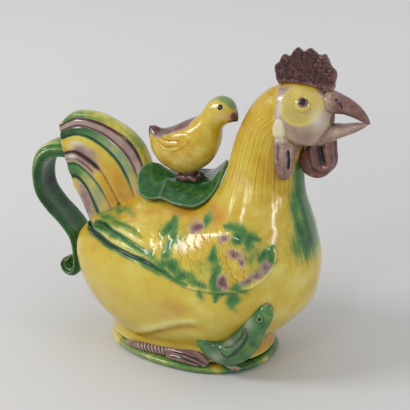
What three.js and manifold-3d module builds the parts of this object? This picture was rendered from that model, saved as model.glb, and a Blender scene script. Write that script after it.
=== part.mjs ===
// A porcelain ewer in the form of a seated hen, with a leaf-shaped lid that carries a chick.
// Millimetres. The hen faces +X, her right side is towards -Y, and +Z is up.
// The origin is the middle of the foot's flat underside.
// The hollow body is two press-moulded halves luted along the middle plane. The foot slab, tail,
// handle, wings, face parts, feet and chicks are separate pieces stuck on with slip. The lid with
// its flange, perch and chick lifts straight up out of the collar on the hen's back.
import * as THREE from "three";
import { mergeVertices } from "three/addons/utils/BufferGeometryUtils.js";
import Module from "manifold-3d";

// The trunk
const rumpReach = 58.5; // from the origin back to the rump
const breastReach = 65.5; // from the origin forward to the breast
const bellyWidth = 84;
const backHeight = 81; // lowest part of the back above the table

// The head and the neck below it
const headX = 50; // middle of the head, forward of the origin
const neckRise = 47; // middle of the head above the back
const headZ = backHeight + neckRise;
const headLength = 42;
const headHeight = 28;
const headWidth = 27;
const neckWidth = 34;
const throatHollow = 2.5; // how far the throat draws in behind a straight line
const neckFoot = backHeight + 7; // height at which the neck is luted to the trunk

// The foot
const slabLength = 87;
const slabWidth = 64;
const slabThickness = 4;
const slabRound = 2.5; // how far its flat faces stand in from its edge
const footLength = 84; // at the narrow place above the slab
const footWidth = 56;
const footFlare = 8; // how much longer and wider it is where it meets the belly
const footHeight = 20;
const footSquareness = 2.2; // 2 makes a true ellipse
const footEgg = 0.16; // how much wider the front end is than the rear end

// Walls and joints
const wall = 3.6;
const slipGap = 0.3; // thickness of the slip between two stuck pieces

// The filling mouth, its collar and the lid's flange
const mouthX = -2;
const mouthRadius = 9.6;
const collarRadius = 12;
const collarTop = backHeight + 3.5;
const lidPlay = 0.6; // between the flange and the mouth all round
const flangeWall = 2.4;
const flangeDepth = 7.5;
const lidRest = 0.3; // between the leaf and the collar

// The pouring hole between the halves of the beak
const throatRadius = 3.2;
const throatZ = headZ - 1.4;

// The leaf
const leafThickness = 2.4;
const leafFlat = 0.62; // part of the way to the rim that stays level

// The handle
const strapWidth = 19;
const strapThickness = 4;
const ribHeight = 0.9;
const ribs = 3;
const scrollX = -66.8;
const scrollShare = 0.417; // height of the scroll as a share of the back's
const scrollZ = scrollShare * backHeight;
const scrollRadius = 3.7;

// Relief
const wingRelief = 1.2; // the lowest layer of feathers above the body
const featherStep = 0.7; // each layer above the one below it
const combThickness = 5;
const eyeRadius = 3.9;
const eyeHeight = 1.3;
const shankRings = 8;

// Outlines further down are drawn on a hen of these sizes, and these carry them along with her
const drawn = { back: 81, belly: 84, headX: 50, headZ: 128, collarTop: 84.5 };
const rise = backHeight / drawn.back;
const spread = bellyWidth / drawn.belly;
const onTrunk = (outline) => outline.map(([x, z]) => [x, z * rise]);
const onHead = (rows) =>
  rows.map(([x, y, z, ...size]) => [x + headX - drawn.headX, y, z + headZ - drawn.headZ, ...size]);
const onLid = (rows) =>
  rows.map(([x, y, z, ...size]) => [x, y, z + collarTop - drawn.collarTop, ...size]);

const wasm = await Module();
wasm.setup();

const mix = (a, b, t) => a + (b - a) * t;
const v2 = (x, y) => new THREE.Vector2(x, y);
const spline = (points) => new THREE.SplineCurve(points.map(([x, y]) => v2(x, y)));

// Joins rings of points into one closed surface. A ring's first point and the one half way round
// lie on its line of symmetry, and each end is closed by a strip folded about that line.
function skin(rings) {
  const count = rings[0].length;
  const faces = [];
  for (let r = 0; r + 1 < rings.length; r++) {
    for (let i = 0; i < count; i++) {
      const a = r * count + i;
      const b = r * count + ((i + 1) % count);
      faces.push(a, b, a + count, b, b + count, a + count);
    }
  }
  const last = (rings.length - 1) * count;
  for (let i = 0; i < count / 2; i++) {
    const across = (count - i) % count;
    const next = count - i - 1;
    if (next > i + 1) {
      faces.push(i, next, i + 1);
      faces.push(last + i, last + i + 1, last + next);
    }
    if (i > 0) {
      faces.push(i, across, next);
      faces.push(last + i, last + next, last + across);
    }
  }
  return new THREE.BufferGeometry().setFromPoints(rings.flat()).setIndex(faces);
}

// A geometry with only its positions, and one vertex wherever several lie together.
function merged(geometry) {
  const plain = geometry.clone();
  for (const name of ["normal", "uv"]) plain.deleteAttribute(name);
  return mergeVertices(plain, 1e-4);
}

function solid(geometry) {
  const clean = merged(geometry);
  const indices = Uint32Array.from(clean.index.array);
  const make = () =>
    new wasm.Manifold(
      new wasm.Mesh({
        numProp: 3,
        vertProperties: clean.attributes.position.array,
        triVerts: indices,
      }),
    );
  const made = make();
  if (made.volume() > 0) return made;
  indices.reverse();
  return make();
}

function geometryOf(made) {
  const mesh = made.getMesh();
  const geometry = new THREE.BufferGeometry();
  geometry.setAttribute("position", new THREE.BufferAttribute(mesh.vertProperties, 3));
  geometry.setIndex(new THREE.BufferAttribute(mesh.triVerts, 1));
  return geometry;
}

// The same solid with every point moved out along the surface's normal. relief is a distance, or
// a function that gives the distance at a point.
function grown(made, relief) {
  const geometry = merged(geometryOf(made));
  geometry.computeVertexNormals();
  const place = geometry.attributes.position;
  const normal = geometry.attributes.normal;
  const point = new THREE.Vector3();
  const out = new THREE.Vector3();
  for (let i = 0; i < place.count; i++) {
    point.fromBufferAttribute(place, i);
    out.fromBufferAttribute(normal, i);
    const distance = typeof relief === "function" ? relief(point) : relief;
    point.addScaledVector(out, distance);
    place.setXYZ(i, point.x, point.y, point.z);
  }
  return solid(geometry);
}

const mirrored = (made) => solid(merged(geometryOf(made)).scale(1, -1, 1));

function box(x0, x1, y0, y1, z0, z1) {
  const geometry = new THREE.BoxGeometry(x1 - x0, y1 - y0, z1 - z0);
  return solid(geometry.translate((x0 + x1) / 2, (y0 + y1) / 2, (z0 + z1) / 2));
}

// An upright ring or disc turned from its outline, a list of [radius, height].
function turned(outline, segments, x = 0) {
  const points = [...outline, outline[0]].map(([r, z]) => v2(r, z));
  const geometry = new THREE.LatheGeometry(points, segments).rotateX(Math.PI / 2);
  return solid(geometry.translate(x, 0, 0));
}

// A flat outline in the XZ plane, pushed through along Y from y0 to y1 with rounded edges.
function slab(outline, y0, y1, round = 0, rounds = 2) {
  const geometry = new THREE.ExtrudeGeometry(new THREE.Shape(outline), {
    depth: y1 - y0 - 2 * round,
    steps: 1,
    bevelEnabled: round > 0,
    bevelThickness: round,
    bevelSize: round,
    bevelOffset: -round,
    bevelSegments: rounds,
  });
  return solid(geometry.translate(0, 0, y0 + round).rotateX(Math.PI / 2).scale(1, -1, 1));
}

// A body drawn along a curve. Each row is [x, y, z, half width, half height].
function limb(rows, around, steps, cap = 0.15, shape = () => 1) {
  const path = new THREE.CatmullRomCurve3(rows.map(([x, y, z]) => new THREE.Vector3(x, y, z)));
  const sizes = spline(rows.map((r) => [r[3], r[4]]));
  const rings = [];
  for (let s = 0; s <= steps; s++) {
    const t = (1 - Math.cos((Math.PI * s) / steps)) / 2;
    const end = Math.min(1, Math.min(t, 1 - t) / cap);
    const size = sizes.getPoint(t).multiplyScalar(Math.sqrt(1 - (1 - end) ** 2) * shape(t));
    const middle = path.getPoint(t);
    const along = path.getTangent(t);
    const side = new THREE.Vector3(0, 1, 0).addScaledVector(along, -along.y).normalize();
    const up = new THREE.Vector3().crossVectors(along, side);
    const ring = [];
    for (let i = 0; i < around; i++) {
      const turn = (2 * Math.PI * i) / around;
      const point = middle.clone().addScaledVector(up, size.y * Math.cos(turn));
      ring.push(point.addScaledVector(side, size.x * Math.sin(turn)));
    }
    rings.push(ring);
  }
  return solid(skin(rings));
}

// A body lofted through rows. A row is a cross-section from a point on the back to a point on the
// front, as wide as twice its half. inset draws the loft in all round.
function loft(rows, steps, around, inset = 0) {
  const back = new THREE.SplineCurve(rows.map((r) => r.back));
  const front = new THREE.SplineCurve(rows.map((r) => r.front));
  const half = new THREE.SplineCurve(rows.map((r, i) => v2(i, r.half)));
  const rings = [];
  for (let s = 0; s <= steps; s++) {
    const b = back.getPoint(s / steps);
    const f = front.getPoint(s / steps);
    const length = b.distanceTo(f) / 2 - inset;
    const width = half.getPoint(s / steps).y - inset;
    if (inset > 0 && Math.min(length, width) < inset) continue;
    const along = b.distanceTo(f) > 0 ? f.clone().sub(b).normalize() : v2(1, 0);
    const middle = b.clone().lerp(f, 0.5);
    const ring = [];
    for (let i = 0; i < around; i++) {
      const turn = (2 * Math.PI * i) / around;
      const reach = -Math.max(length, 0) * Math.cos(turn);
      const side = Math.max(width, 0) * Math.sin(turn);
      ring.push(new THREE.Vector3(middle.x + along.x * reach, side, middle.y + along.y * reach));
    }
    rings.push(ring);
  }
  return solid(skin(rings));
}
const row = (bx, bz, fx, fz, half) => ({ back: v2(bx, bz), front: v2(fx, fz), half });

// The trunk, neck and head are one loft
const trunkX = (f) => f * (f < 0 ? rumpReach : breastReach);
const trunkRow = (bx, bz, fx, fz, w) =>
  row(trunkX(bx), bz * backHeight, trunkX(fx), fz * backHeight, (w * bellyWidth) / 2);
const headRow = (bx, bz, fx, fz, w) =>
  row(
    headX + bx * headLength,
    headZ + bz * headHeight,
    headX + fx * headLength,
    headZ + fz * headHeight,
    (w * headWidth) / 2,
  );
const trunkRows = [
  trunkRow(-0.97, 0.815, -0.97, 0.815, 0),
  trunkRow(-0.89, 0.89, -1.02, 0.7, 0.27),
  trunkRow(-0.77, 0.945, -1.03, 0.555, 0.46),
  trunkRow(-0.625, 0.98, -0.99, 0.38, 0.65),
  trunkRow(-0.45, 1.0, -0.86, 0.205, 0.815),
  trunkRow(-0.27, 1.005, -0.59, 0.08, 0.93),
  trunkRow(-0.08, 1.0, -0.21, 0.025, 0.995),
  trunkRow(0.08, 1.01, 0.275, 0.03, 1.0),
  trunkRow(0.18, 1.045, 0.64, 0.105, 0.975),
  trunkRow(0.26, 1.11, 0.895, 0.31, 0.89),
  trunkRow(0.305, 1.185, 0.99, 0.57, 0.76),
  trunkRow(0.33, 1.27, 0.955, 0.815, 0.6),
];
const headRows = [
  headRow(-0.5, -0.1, 0.17, -0.62, 1.04),
  headRow(-0.42, 0.1, 0.38, -0.48, 1.0),
  headRow(-0.29, 0.3, 0.49, -0.23, 0.92),
  headRow(-0.14, 0.43, 0.5, 0.09, 0.77),
  headRow(0.05, 0.5, 0.45, 0.34, 0.52),
  headRow(0.29, 0.48, 0.29, 0.48, 0),
];
const shoulder = trunkRows.at(-1);
const nape = headRows[0];
const throatRow = {
  back: shoulder.back.clone().lerp(nape.back, 0.5).add(v2(-throatHollow / 2, 0)),
  front: shoulder.front.clone().lerp(nape.front, 0.5).add(v2(-throatHollow, 0)),
  half: neckWidth / 2,
};
const henRows = [...trunkRows, throatRow, ...headRows];

// An egg-shaped oval, wider towards the front
function oval(length, width, z, around) {
  const ring = [];
  for (let i = 0; i < around; i++) {
    const turn = (2 * Math.PI * i) / around;
    const c = Math.cos(turn);
    const s = Math.sin(turn);
    const x = Math.sign(c) * Math.abs(c) ** (2 / footSquareness);
    const y = Math.sign(s) * Math.abs(s) ** (2 / footSquareness);
    ring.push(new THREE.Vector3((x * length) / 2, (y * width * (1 + footEgg * x)) / 2, z));
  }
  return ring;
}

function footWall(inset, bottom, top, around) {
  const rings = [];
  const levels = 4;
  for (let i = 0; i <= levels; i++) {
    const t = i / levels;
    const flare = footFlare * t ** 2 - 2 * inset;
    rings.push(oval(footLength + flare, footWidth + flare, mix(bottom, top, t), around));
  }
  return solid(skin(rings));
}

const slabLevels = [
  [0, slabRound],
  [0.2, slabRound * 0.3],
  [0.5, 0],
  [0.82, slabRound * 0.25],
  [1, slabRound],
];
const footSlab = solid(
  skin(
    slabLevels.map(([t, inset]) =>
      oval(slabLength - 2 * inset, slabWidth - 2 * inset, t * slabThickness, 40),
    ),
  ),
);

// The hollow body, with the hole in the back and the hole through the face
const footBottom = slabThickness + slipGap;
const below = box(-100, 100, -bellyWidth, bellyWidth, -20, footBottom);
const henShape = loft(henRows, 32, 22);
const footShape = footWall(0, footBottom, footHeight, 32);
const skinOut = henShape.add(footShape).subtract(below);
const hollow = loft(henRows, 18, 13, wall).add(footWall(wall, 0, footHeight * 0.6, 20));
const fillingDepth = 60;
const filling = turned(
  [
    [0, collarTop - fillingDepth],
    [mouthRadius, collarTop - fillingDepth],
    [mouthRadius, collarTop + 5],
    [0, collarTop + 5],
  ],
  24,
  mouthX,
);
const throatReach = 26;
const throat = solid(
  new THREE.CylinderGeometry(throatRadius, throatRadius, throatReach, 18)
    .rotateZ(Math.PI / 2)
    .translate(headX + throatReach / 2, 0, throatZ),
);
const shell = skinOut.subtract(hollow).subtract(filling).subtract(throat);
const rightSide = (low, high) => box(-200, 200, -bellyWidth, 0, low, high);
const leftSide = (low, high) => box(-200, 200, 0, bellyWidth, low, high);
const seatBody = grown(henShape, slipGap).add(grown(footShape, slipGap));
const seatSlab = grown(footSlab, slipGap);
const onBody = (made) => made.subtract(seatBody);

// The collar stands on the back round the mouth
const collar = onBody(
  turned(
    [
      [mouthRadius, 70],
      [collarRadius, 70],
      [collarRadius, collarTop - 0.8],
      [collarRadius - 0.8, collarTop],
      [mouthRadius, collarTop],
    ],
    24,
    mouthX,
  ),
);

// The tail is a fan of feathers. Each line is the groove between two of them, from the root to
// the rear edge, and half is half the tail's thickness there.
const groove = (half, points) => ({ line: spline(onTrunk(points)), half });
const tailGrooves = [
  groove(2, [[-20.5, 84], [-27, 101.3], [-46, 113.6], [-63.5, 114.3], [-73.3, 106.5]]),
  groove(3.6, [[-22.5, 82], [-28.5, 99], [-44, 109.3], [-61, 111.6], [-72.4, 105.6]]),
  groove(4.6, [[-25, 80], [-31, 92.5], [-43.5, 104], [-59, 108.2], [-71.4, 103.4]]),
  groove(5.6, [[-28, 78], [-35, 89.5], [-47, 100.5], [-60, 104.1], [-70.5, 100.2]]),
  groove(6.2, [[-38, 72], [-46.5, 85.5], [-54, 91.7], [-62, 94.8], [-68.4, 93]]),
  groove(6.2, [[-40, 64], [-47.5, 77.5], [-54.5, 84.7], [-61.5, 88.8], [-66.9, 87.8]]),
  groove(5.6, [[-45, 55], [-51, 67.5], [-55.5, 76.4], [-60.8, 81.5], [-65.1, 81.6]]),
  groove(4.4, [[-52, 50], [-56, 56], [-58.6, 62], [-60.6, 67.5], [-62.4, 72.5]]),
];
const featherCrown = 1; // how far a feather's middle stands above the grooves beside it
function tailRing(t) {
  const face = [];
  for (let k = 0; k + 1 < tailGrooves.length; k++) {
    const a = tailGrooves[k];
    const b = tailGrooves[k + 1];
    for (const u of [0, 0.3, 0.7]) {
      const point = a.line.getPoint(t).lerp(b.line.getPoint(t), u);
      face.push([point, mix(a.half, b.half, u) + (u > 0 ? featherCrown : 0)]);
    }
  }
  const top = tailGrooves[0].line.getPoint(t);
  const bottom = tailGrooves.at(-1).line.getPoint(t);
  const right = face.slice(1).map(([p, h]) => new THREE.Vector3(p.x, -h, p.y));
  const left = right.map((p) => new THREE.Vector3(p.x, -p.y, p.z)).reverse();
  return [
    new THREE.Vector3(top.x, 0, top.y),
    ...right,
    new THREE.Vector3(bottom.x, 0, bottom.y),
    ...left,
  ];
}
const tailSteps = 8;
const tailRings = [];
for (let s = 0; s <= tailSteps; s++) tailRings.push(tailRing(s / tailSteps));
const tailRaw = solid(skin(tailRings));
const tail = onBody(tailRaw);

// The handle is a ribbed strap that leaves the tail, lands on the rump and ends in a scroll
const scroll = [];
for (const degrees of [0, -60, -120, -180, -235]) {
  const turn = (degrees * Math.PI) / 180;
  scroll.push([scrollX + scrollRadius * Math.cos(turn), scrollZ + scrollRadius * Math.sin(turn)]);
}
const strapPath = spline([
  ...onTrunk([
    [-64, 93.4],
    [-71.5, 94.4],
    [-78.4, 93.2],
    [-83, 88],
    [-85, 79.5],
    [-83.6, 70.4],
    [-77.6, 62.6],
    [-70.4, 56.2],
    [-65, 49.4],
    [-63.2, 41.5],
  ]),
  ...scroll,
]);
const strapSteps = 26;
const strapAcross = 9;
const strapHollow = 0.8; // how far the inside of the strap is dished
const strapRings = [];
for (let s = 0; s <= strapSteps; s++) {
  const t = s / strapSteps;
  const middle = strapPath.getPoint(t);
  const along = strapPath.getTangent(t);
  const inward = v2(-along.y, along.x);
  const thick = strapThickness * mix(1, 0.75, Math.max(0, t - 0.8) * 5);
  const place = (y, n) =>
    new THREE.Vector3(middle.x + inward.x * n, y, middle.y + inward.y * n);
  const outer = [];
  const inner = [];
  for (let i = 1; i < strapAcross; i++) {
    const u = (2 * i) / strapAcross - 1;
    const y = (u * strapWidth) / 2;
    const rib = ribHeight * Math.abs(Math.cos((Math.PI * ribs * u) / 2));
    outer.push(place(y, -thick / 2 + ribHeight / 2 - rib));
    inner.push(place(y, thick / 2 - strapHollow * (1 - u * u)));
  }
  strapRings.push([
    place(-strapWidth / 2, 0),
    ...outer,
    place(strapWidth / 2, 0),
    ...inner.reverse(),
  ]);
}
const tailEdge = onTrunk([[-73.6, 108], [-62.8, 72.5], [-40, 72.5], [-40, 108]]);
const handle = onBody(solid(skin(strapRings))).subtract(
  slab(tailEdge.map(([x, z]) => v2(x, z)), -strapWidth, strapWidth),
);

// A wing is layers of feathers laid over one another. Each layer reaches less far down than the
// one under it, and all of them fade into the back.
const wingFade = [62 * rise, 80 * rise]; // heights between which the relief fades out
const wingTop = [[46, 81], [34, 83], [20, 79], [0, 76], [-25, 76], [-46, 74.5]];
const wingEdges = [
  [[-53, 69.5], [-34.5, 64.3], [-7, 57], [11, 50.2], [24, 48.2], [34, 48.2], [46, 52.5], [54.4, 64], [51.5, 75]],
  [[-46, 71], [-24, 66.5], [0, 60.6], [16, 54.4], [26, 52.8], [34, 53.8], [42, 58.5], [46.5, 66], [45, 75]],
  [[-36, 72.8], [-14, 69], [4, 64.2], [15, 59.4], [23.5, 58], [30.5, 59.2], [36.5, 63.4], [40, 70], [39, 76]],
  [[-18, 74.5], [-5, 71.6], [5, 67.8], [14, 64.4], [21, 63.4], [27, 65], [32, 69.4], [34, 74], [33, 78]],
];
function wingLayer(edge, relief) {
  const over = wingTop.filter(([x]) => x > edge[0][0] && x < edge.at(-1)[0]);
  const under = spline(onTrunk(edge)).getPoints(edge.length * 2);
  const outline = [...under, ...onTrunk(over).map(([x, z]) => v2(x, z))];
  const fade = (z) => THREE.MathUtils.smoothstep(z, ...wingFade);
  const raised = grown(henShape, (p) => mix(relief, 2 * slipGap, fade(p.z)));
  return raised.intersect(slab(outline, -bellyWidth, -5));
}
let wing = wingLayer(wingEdges[0], wingRelief);
for (let k = 1; k < wingEdges.length; k++) {
  wing = wing.add(wingLayer(wingEdges[k], wingRelief + k * featherStep));
}
wing = onBody(wing);

// The comb
const combEdge = spline(
  onHead([
    [45.5, 0, 138],
    [43.4, 0, 143.4],
    [42.1, 0, 149.1],
    [44.2, 0, 150.6],
    [46.2, 0, 154.8],
    [49.4, 0, 153.8],
    [52.6, 0, 158.6],
    [56, 0, 156.6],
    [58.9, 0, 158.9],
    [63.4, 0, 155.8],
    [66.6, 0, 156.6],
    [69.3, 0, 151.4],
    [72.2, 0, 148.4],
    [71.4, 0, 143.6],
    [69, 0, 137],
    [57, 0, 135],
  ]).map(([x, , z]) => [x, z]),
  );

  // The beak
  const upperBeakRaw = limb(
  onHead([
    [68.5, 0, 132.8, 5.4, 5],
    [73, 0, 133.7, 6.4, 5.2],
    [77, 0, 133.7, 5.2, 3.9],
    [81.5, 0, 131.8, 3.8, 3.2],
    [85.4, 0, 129.3, 2.4, 2.2],
    [89.2, 0, 125.9, 0.9, 0.8],
  ]),
  14,
  10,
  0.08,
);
const upperBeak = onBody(upperBeakRaw).subtract(throat);
const combRaw = slab(combEdge.getPoints(32), -combThickness / 2, combThickness / 2, 0.9);
const comb = onBody(combRaw).subtract(grown(upperBeakRaw, slipGap));
const lowerBeakRaw = limb(
  onHead([
    [67.5, 0, 121.2, 5.2, 3.2],
    [72.5, 0, 121.5, 5.7, 3],
    [77, 0, 122.5, 4.6, 1.9],
    [81.5, 0, 124.6, 3.4, 1.8],
    [87, 0, 126, 1.4, 1.1],
  ]),
  14,
  9,
  0.08,
);
const lowerBeak = onBody(lowerBeakRaw).subtract(grown(upperBeakRaw, slipGap)).subtract(throat);

// The wattles, ear lobes and eyes
const wattleApart = 3.2; // how far each wattle's lower end stands from the middle plane
const wattleSkew = 3; // how much lower the left one hangs
const wattle = (side, drop) =>
  onBody(
    limb(
      onHead([
        [64.6, side * (wattleApart + 1), 117.4, 2.4, 2.8],
        [63.9, side * (wattleApart + 1.6), 111.5 - drop / 2, 2.8, 5],
        [64.3, side * (wattleApart + 1.2), 105 - drop, 3.1, 6.5],
        [65.6, side * wattleApart, 98.2 - drop, 2.4, 4.4],
      ]),
      10,
      9,
      0.25,
    ),
  );
const rightWattle = wattle(-1, 0);
const leftWattle = wattle(1, wattleSkew).subtract(grown(rightWattle, slipGap));
const earLobe = onBody(
  limb(
    onHead([
      [49.6, -12.2, 124, 2.6, 2.6],
      [50.3, -13.4, 119.6, 2.9, 3.4],
      [51.4, -13.2, 114.6, 2.6, 3.6],
      [52.2, -13, 106.5, 3, 5],
      [52.6, -12.6, 97.6, 2.8, 4.4],
    ]),
    10,
    11,
    0.18,
  ),
);
const ball = (radius, detail, at) =>
  solid(new THREE.IcosahedronGeometry(radius, detail).translate(at.x, at.y, at.z));
const eyeBall = (eyeRadius ** 2 + eyeHeight ** 2) / (2 * eyeHeight);
const eyeAt = new THREE.Vector3(...onHead([[59.8, -9.7, 135.6]])[0]);
const eyeOut = new THREE.Vector3(0.25, -0.8, 0.54).normalize();
const eyeMiddle = eyeAt.clone().addScaledVector(eyeOut, eyeHeight - eyeBall);
const pupilRadius = 1.7;
const pupilAt = eyeAt.clone().addScaledVector(eyeOut, eyeHeight - pupilRadius / 2);
const eye = onBody(
  ball(eyeBall, 3, eyeMiddle)
    .intersect(ball(eyeRadius + 0.4, 2, eyeAt))
    .add(ball(pupilRadius, 1, pupilAt)),
);

// A foot is a ringed shank along the slab and three toes in front of it
const ringed = (t) => 1 + 0.14 * Math.cos(2 * Math.PI * shankRings * t);
let foot = limb(
  [
    [-33, -18.6, 4.8, 1.8, 1.6],
    [-23, -24.4, 5.4, 2.5, 2.4],
    [-11, -27.6, 6.2, 2.9, 2.9],
    [2, -28.6, 6.8, 3, 2.9],
  ],
  7,
  21,
  0.1,
  ringed,
);
const toes = [
  [[-2, -27.2, 7.6, 2, 2], [8, -27, 8.4, 2.1, 2], [20.5, -28, 5.8, 1.4, 1.6]],
  [[-2, -28.4, 7, 2, 2], [8, -29, 7, 2.1, 2], [19.5, -29.4, 5, 1.4, 1.6]],
  [[-3, -29.2, 6, 1.8, 1.8], [5, -30.2, 5.6, 1.9, 1.8], [13, -30.6, 5, 1.3, 1.4]],
];
for (const toe of toes) foot = foot.add(limb(toe, 7, 5, 0.2));
foot = onBody(foot).subtract(seatSlab);

// A chick in relief stands against the hen's right side, in front of the foot
const reliefBody = limb(
  [
    [19.6, -35.6, 24, 1.2, 1],
    [22.6, -31.6, 16.4, 3.2, 3.2],
    [29.8, -27.4, 13.6, 5, 6.6],
    [38.6, -26, 18.2, 5.2, 7.4],
    [44.8, -27, 27.4, 4.6, 5.6],
    [49, -28.8, 35.4, 4.2, 5.2],
    [52, -29.4, 40.4, 1.6, 2],
  ].map(([x, y, ...rest]) => [x, y * spread, ...rest]),
  10,
  13,
  0.07,
);
const reliefLeg = limb(
  [
    [31, -27.5, 11, 1.4, 2],
    [33, -26.4, 6, 1.2, 1.6],
    [37.5, -22.6, 3.6, 1.2, 1],
  ],
  8,
  6,
);
const reliefChick = onBody(reliefBody.add(reliefLeg)).subtract(seatSlab);

// The leaf. Its rim is given for the right side, from the tip at the neck to the notch behind,
// and its surface is level in the middle.
const leafTop = collarTop + lidRest + leafThickness;
const leafSide = [
  [16.4, 0, 98.2],
  [15.6, -6, 95],
  [13.6, -12, 88.8],
  [10, -16.6, 84.2],
  [5, -19.6, 81.6],
  [-2, -19, 82.4],
  [-9.5, -16.4, 83.6],
  [-16, -17.6, 82.4],
  [-21.6, -16, 84],
  [-24.8, -12.6, 88],
  [-23.6, -9.4, 93],
  [-19.4, -8, 96],
  [-16, -4, 91.6],
  [-15.4, 0, 89],
];
const leafFarSide = leafSide.slice(1, -1).map(([x, y, z]) => [x, -y, z]);
const leafPoints = onLid([...leafSide, ...leafFarSide.reverse()]);
const leafRim = new THREE.CatmullRomCurve3(
  leafPoints.map(([x, y, z]) => new THREE.Vector3(x, y, z)),
  true,
);
const leafAround = 36;
const leafRings = [0, 0.35, leafFlat, 0.75, 0.88, 1].map((r) => {
  const rise = Math.max(0, (r - leafFlat) / (1 - leafFlat)) ** 1.25;
  const ring = [];
  for (let i = 0; i < leafAround; i++) {
    const rim = leafRim.getPoint(i / leafAround);
    const z = mix(leafTop, rim.z, rise);
    ring.push(new THREE.Vector3(mix(mouthX, rim.x, r), mix(0, rim.y, r), z));
  }
  return ring;
});
const leafSheet = skin(leafRings);
const sheetFaces = Array.from(leafSheet.index.array);
leafSheet.setIndex(sheetFaces.slice(0, (leafRings.length - 1) * leafAround * 6));
leafSheet.computeVertexNormals();
const leafUnder = leafRings.map((ring, r) =>
  ring.map((point, i) => {
    const normal = new THREE.Vector3();
    normal.fromBufferAttribute(leafSheet.attributes.normal, r * leafAround + i);
    if (r < 2) normal.set(0, 0, 1);
    if (normal.z < 0) normal.negate();
    return point.clone().addScaledVector(normal, -leafThickness);
  }),
);
const leaf = solid(skin([...leafRings, ...leafUnder.reverse()]));

const flangeTop = collarTop + lidRest - slipGap;
const flangeRadius = mouthRadius - lidPlay;
const flange = turned(
  [
    [flangeRadius - flangeWall, flangeTop - flangeDepth],
    [flangeRadius - 0.6, flangeTop - flangeDepth],
    [flangeRadius, flangeTop - flangeDepth + 0.6],
    [flangeRadius, flangeTop],
    [flangeRadius - flangeWall, flangeTop],
  ],
  24,
  mouthX,
);

// The chick on the lid, and the mound it stands on
const chickRise = collarTop - drawn.collarTop;
const chickRow = (bx, bz, fx, fz, half) => row(bx, bz + chickRise, fx, fz + chickRise, half);
const chickRows = [
  chickRow(-23.4, 111.4, -23.4, 111.4, 0),
  chickRow(-20.6, 112, -23.3, 108, 2.4),
  chickRow(-16.7, 111, -22.3, 104.4, 4.4),
  chickRow(-11, 112.8, -20.1, 98.8, 8.2),
  chickRow(-4.8, 116.2, -13.6, 92.8, 10.6),
  chickRow(1, 119, -2.5, 90.4, 11.5),
  chickRow(4.5, 121.4, 8.6, 96.6, 10.6),
  chickRow(6.4, 124, 13.6, 105.4, 8.6),
  chickRow(7.9, 126.6, 15, 113.8, 7),
  chickRow(10.2, 129, 17.2, 117, 6.8),
  chickRow(14.8, 131, 20.6, 118.8, 6.2),
  chickRow(19.4, 130, 22.6, 119.4, 4.6),
  chickRow(21.9, 126.4, 23.4, 119.6, 2.6),
  chickRow(24, 120.6, 24, 120.6, 0),
];
const chickRaw = loft(chickRows, 19, 15);
const perchRadius = 7;
const perch = turned(
  [
    [0, leafTop + slipGap],
    [perchRadius, leafTop + slipGap],
    [perchRadius, leafTop + 1.6],
    [perchRadius - 1.6, leafTop + 4.6],
    [0, leafTop + 8],
  ],
  20,
  mouthX,
).subtract(grown(chickRaw, slipGap));
const chickEye = ball(1.5, 1, new THREE.Vector3(16.2, -5.2, 126.2 + chickRise));
const chick = chickRaw.add(chickEye).add(mirrored(chickEye));
const chickWingEdge = spline(
  [
  [-17.5, 106.5],
  [-14, 103.4],
  [-9.5, 101.4],
  [-4.5, 102],
  [1, 105.2],
  [4.2, 110],
  [2.5, 114.5],
  [-4, 113],
  [-11, 110],
  ].map(([x, z]) => [x, z + chickRise]),
);
const chickWing = grown(chickRaw, 1.4)
  .intersect(slab(chickWingEdge.getPoints(24), -30, -3))
  .subtract(grown(chickRaw, slipGap));

// Colours and roughness of the glazes
const yellow = [0xd9a81f, 0.18];
const green = [0x1f7a3a, 0.16];
const paleGreen = [0x3f9a5c, 0.18];
const aubergine = [0x5a3038, 0.18];
const greyAubergine = [0x9c8685, 0.2];
const olive = [0x8f9a2c, 0.18];
const dark = [0x201512, 0.12];

const pieces = [
  ["body_right_half", shell.intersect(rightSide(0, neckFoot)), yellow],
  ["body_left_half", shell.intersect(leftSide(0, neckFoot)), yellow],
  ["neck_right_half", shell.intersect(rightSide(neckFoot, 2 * headZ)), yellow],
  ["neck_left_half", shell.intersect(leftSide(neckFoot, 2 * headZ)), yellow],
  ["foot_slab", footSlab, green],
  ["mouth_collar", collar, yellow],
  ["tail_fan", tail, olive],
  ["handle", handle, green],
  ["right_wing", wing, yellow],
  ["left_wing", mirrored(wing), yellow],
  ["comb", comb, aubergine],
  ["upper_beak", upperBeak, aubergine],
  ["lower_beak", lowerBeak, greyAubergine],
  ["right_wattle", rightWattle, aubergine],
  ["left_wattle", leftWattle, aubergine],
  ["right_ear_lobe", earLobe, greyAubergine],
  ["left_ear_lobe", mirrored(earLobe), greyAubergine],
  ["right_eye", eye, dark],
  ["left_eye", mirrored(eye), dark],
  ["right_foot", foot, greyAubergine],
  ["left_foot", mirrored(foot), greyAubergine],
  ["relief_chick", reliefChick, paleGreen],
  ["lid_leaf", leaf, green],
  ["lid_flange", flange, yellow],
  ["perch_mound", perch, aubergine],
  ["finial_chick", chick, yellow],
  ["chick_right_wing", chickWing, yellow],
  ["chick_left_wing", mirrored(chickWing), yellow],
];

const group = new THREE.Group();
for (const [name, made, [color, roughness]] of pieces) {
  const material = new THREE.MeshStandardMaterial({ color, roughness, metalness: 0 });
  const mesh = new THREE.Mesh(geometryOf(made), material);
  mesh.name = name;
  group.add(mesh);
}

export default group;
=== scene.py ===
"""Glazed looks for a hen-shaped ewer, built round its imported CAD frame."""

import math

import bmesh
import bpy
import numpy as np
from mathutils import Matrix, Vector
from mathutils.kdtree import KDTree


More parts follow.
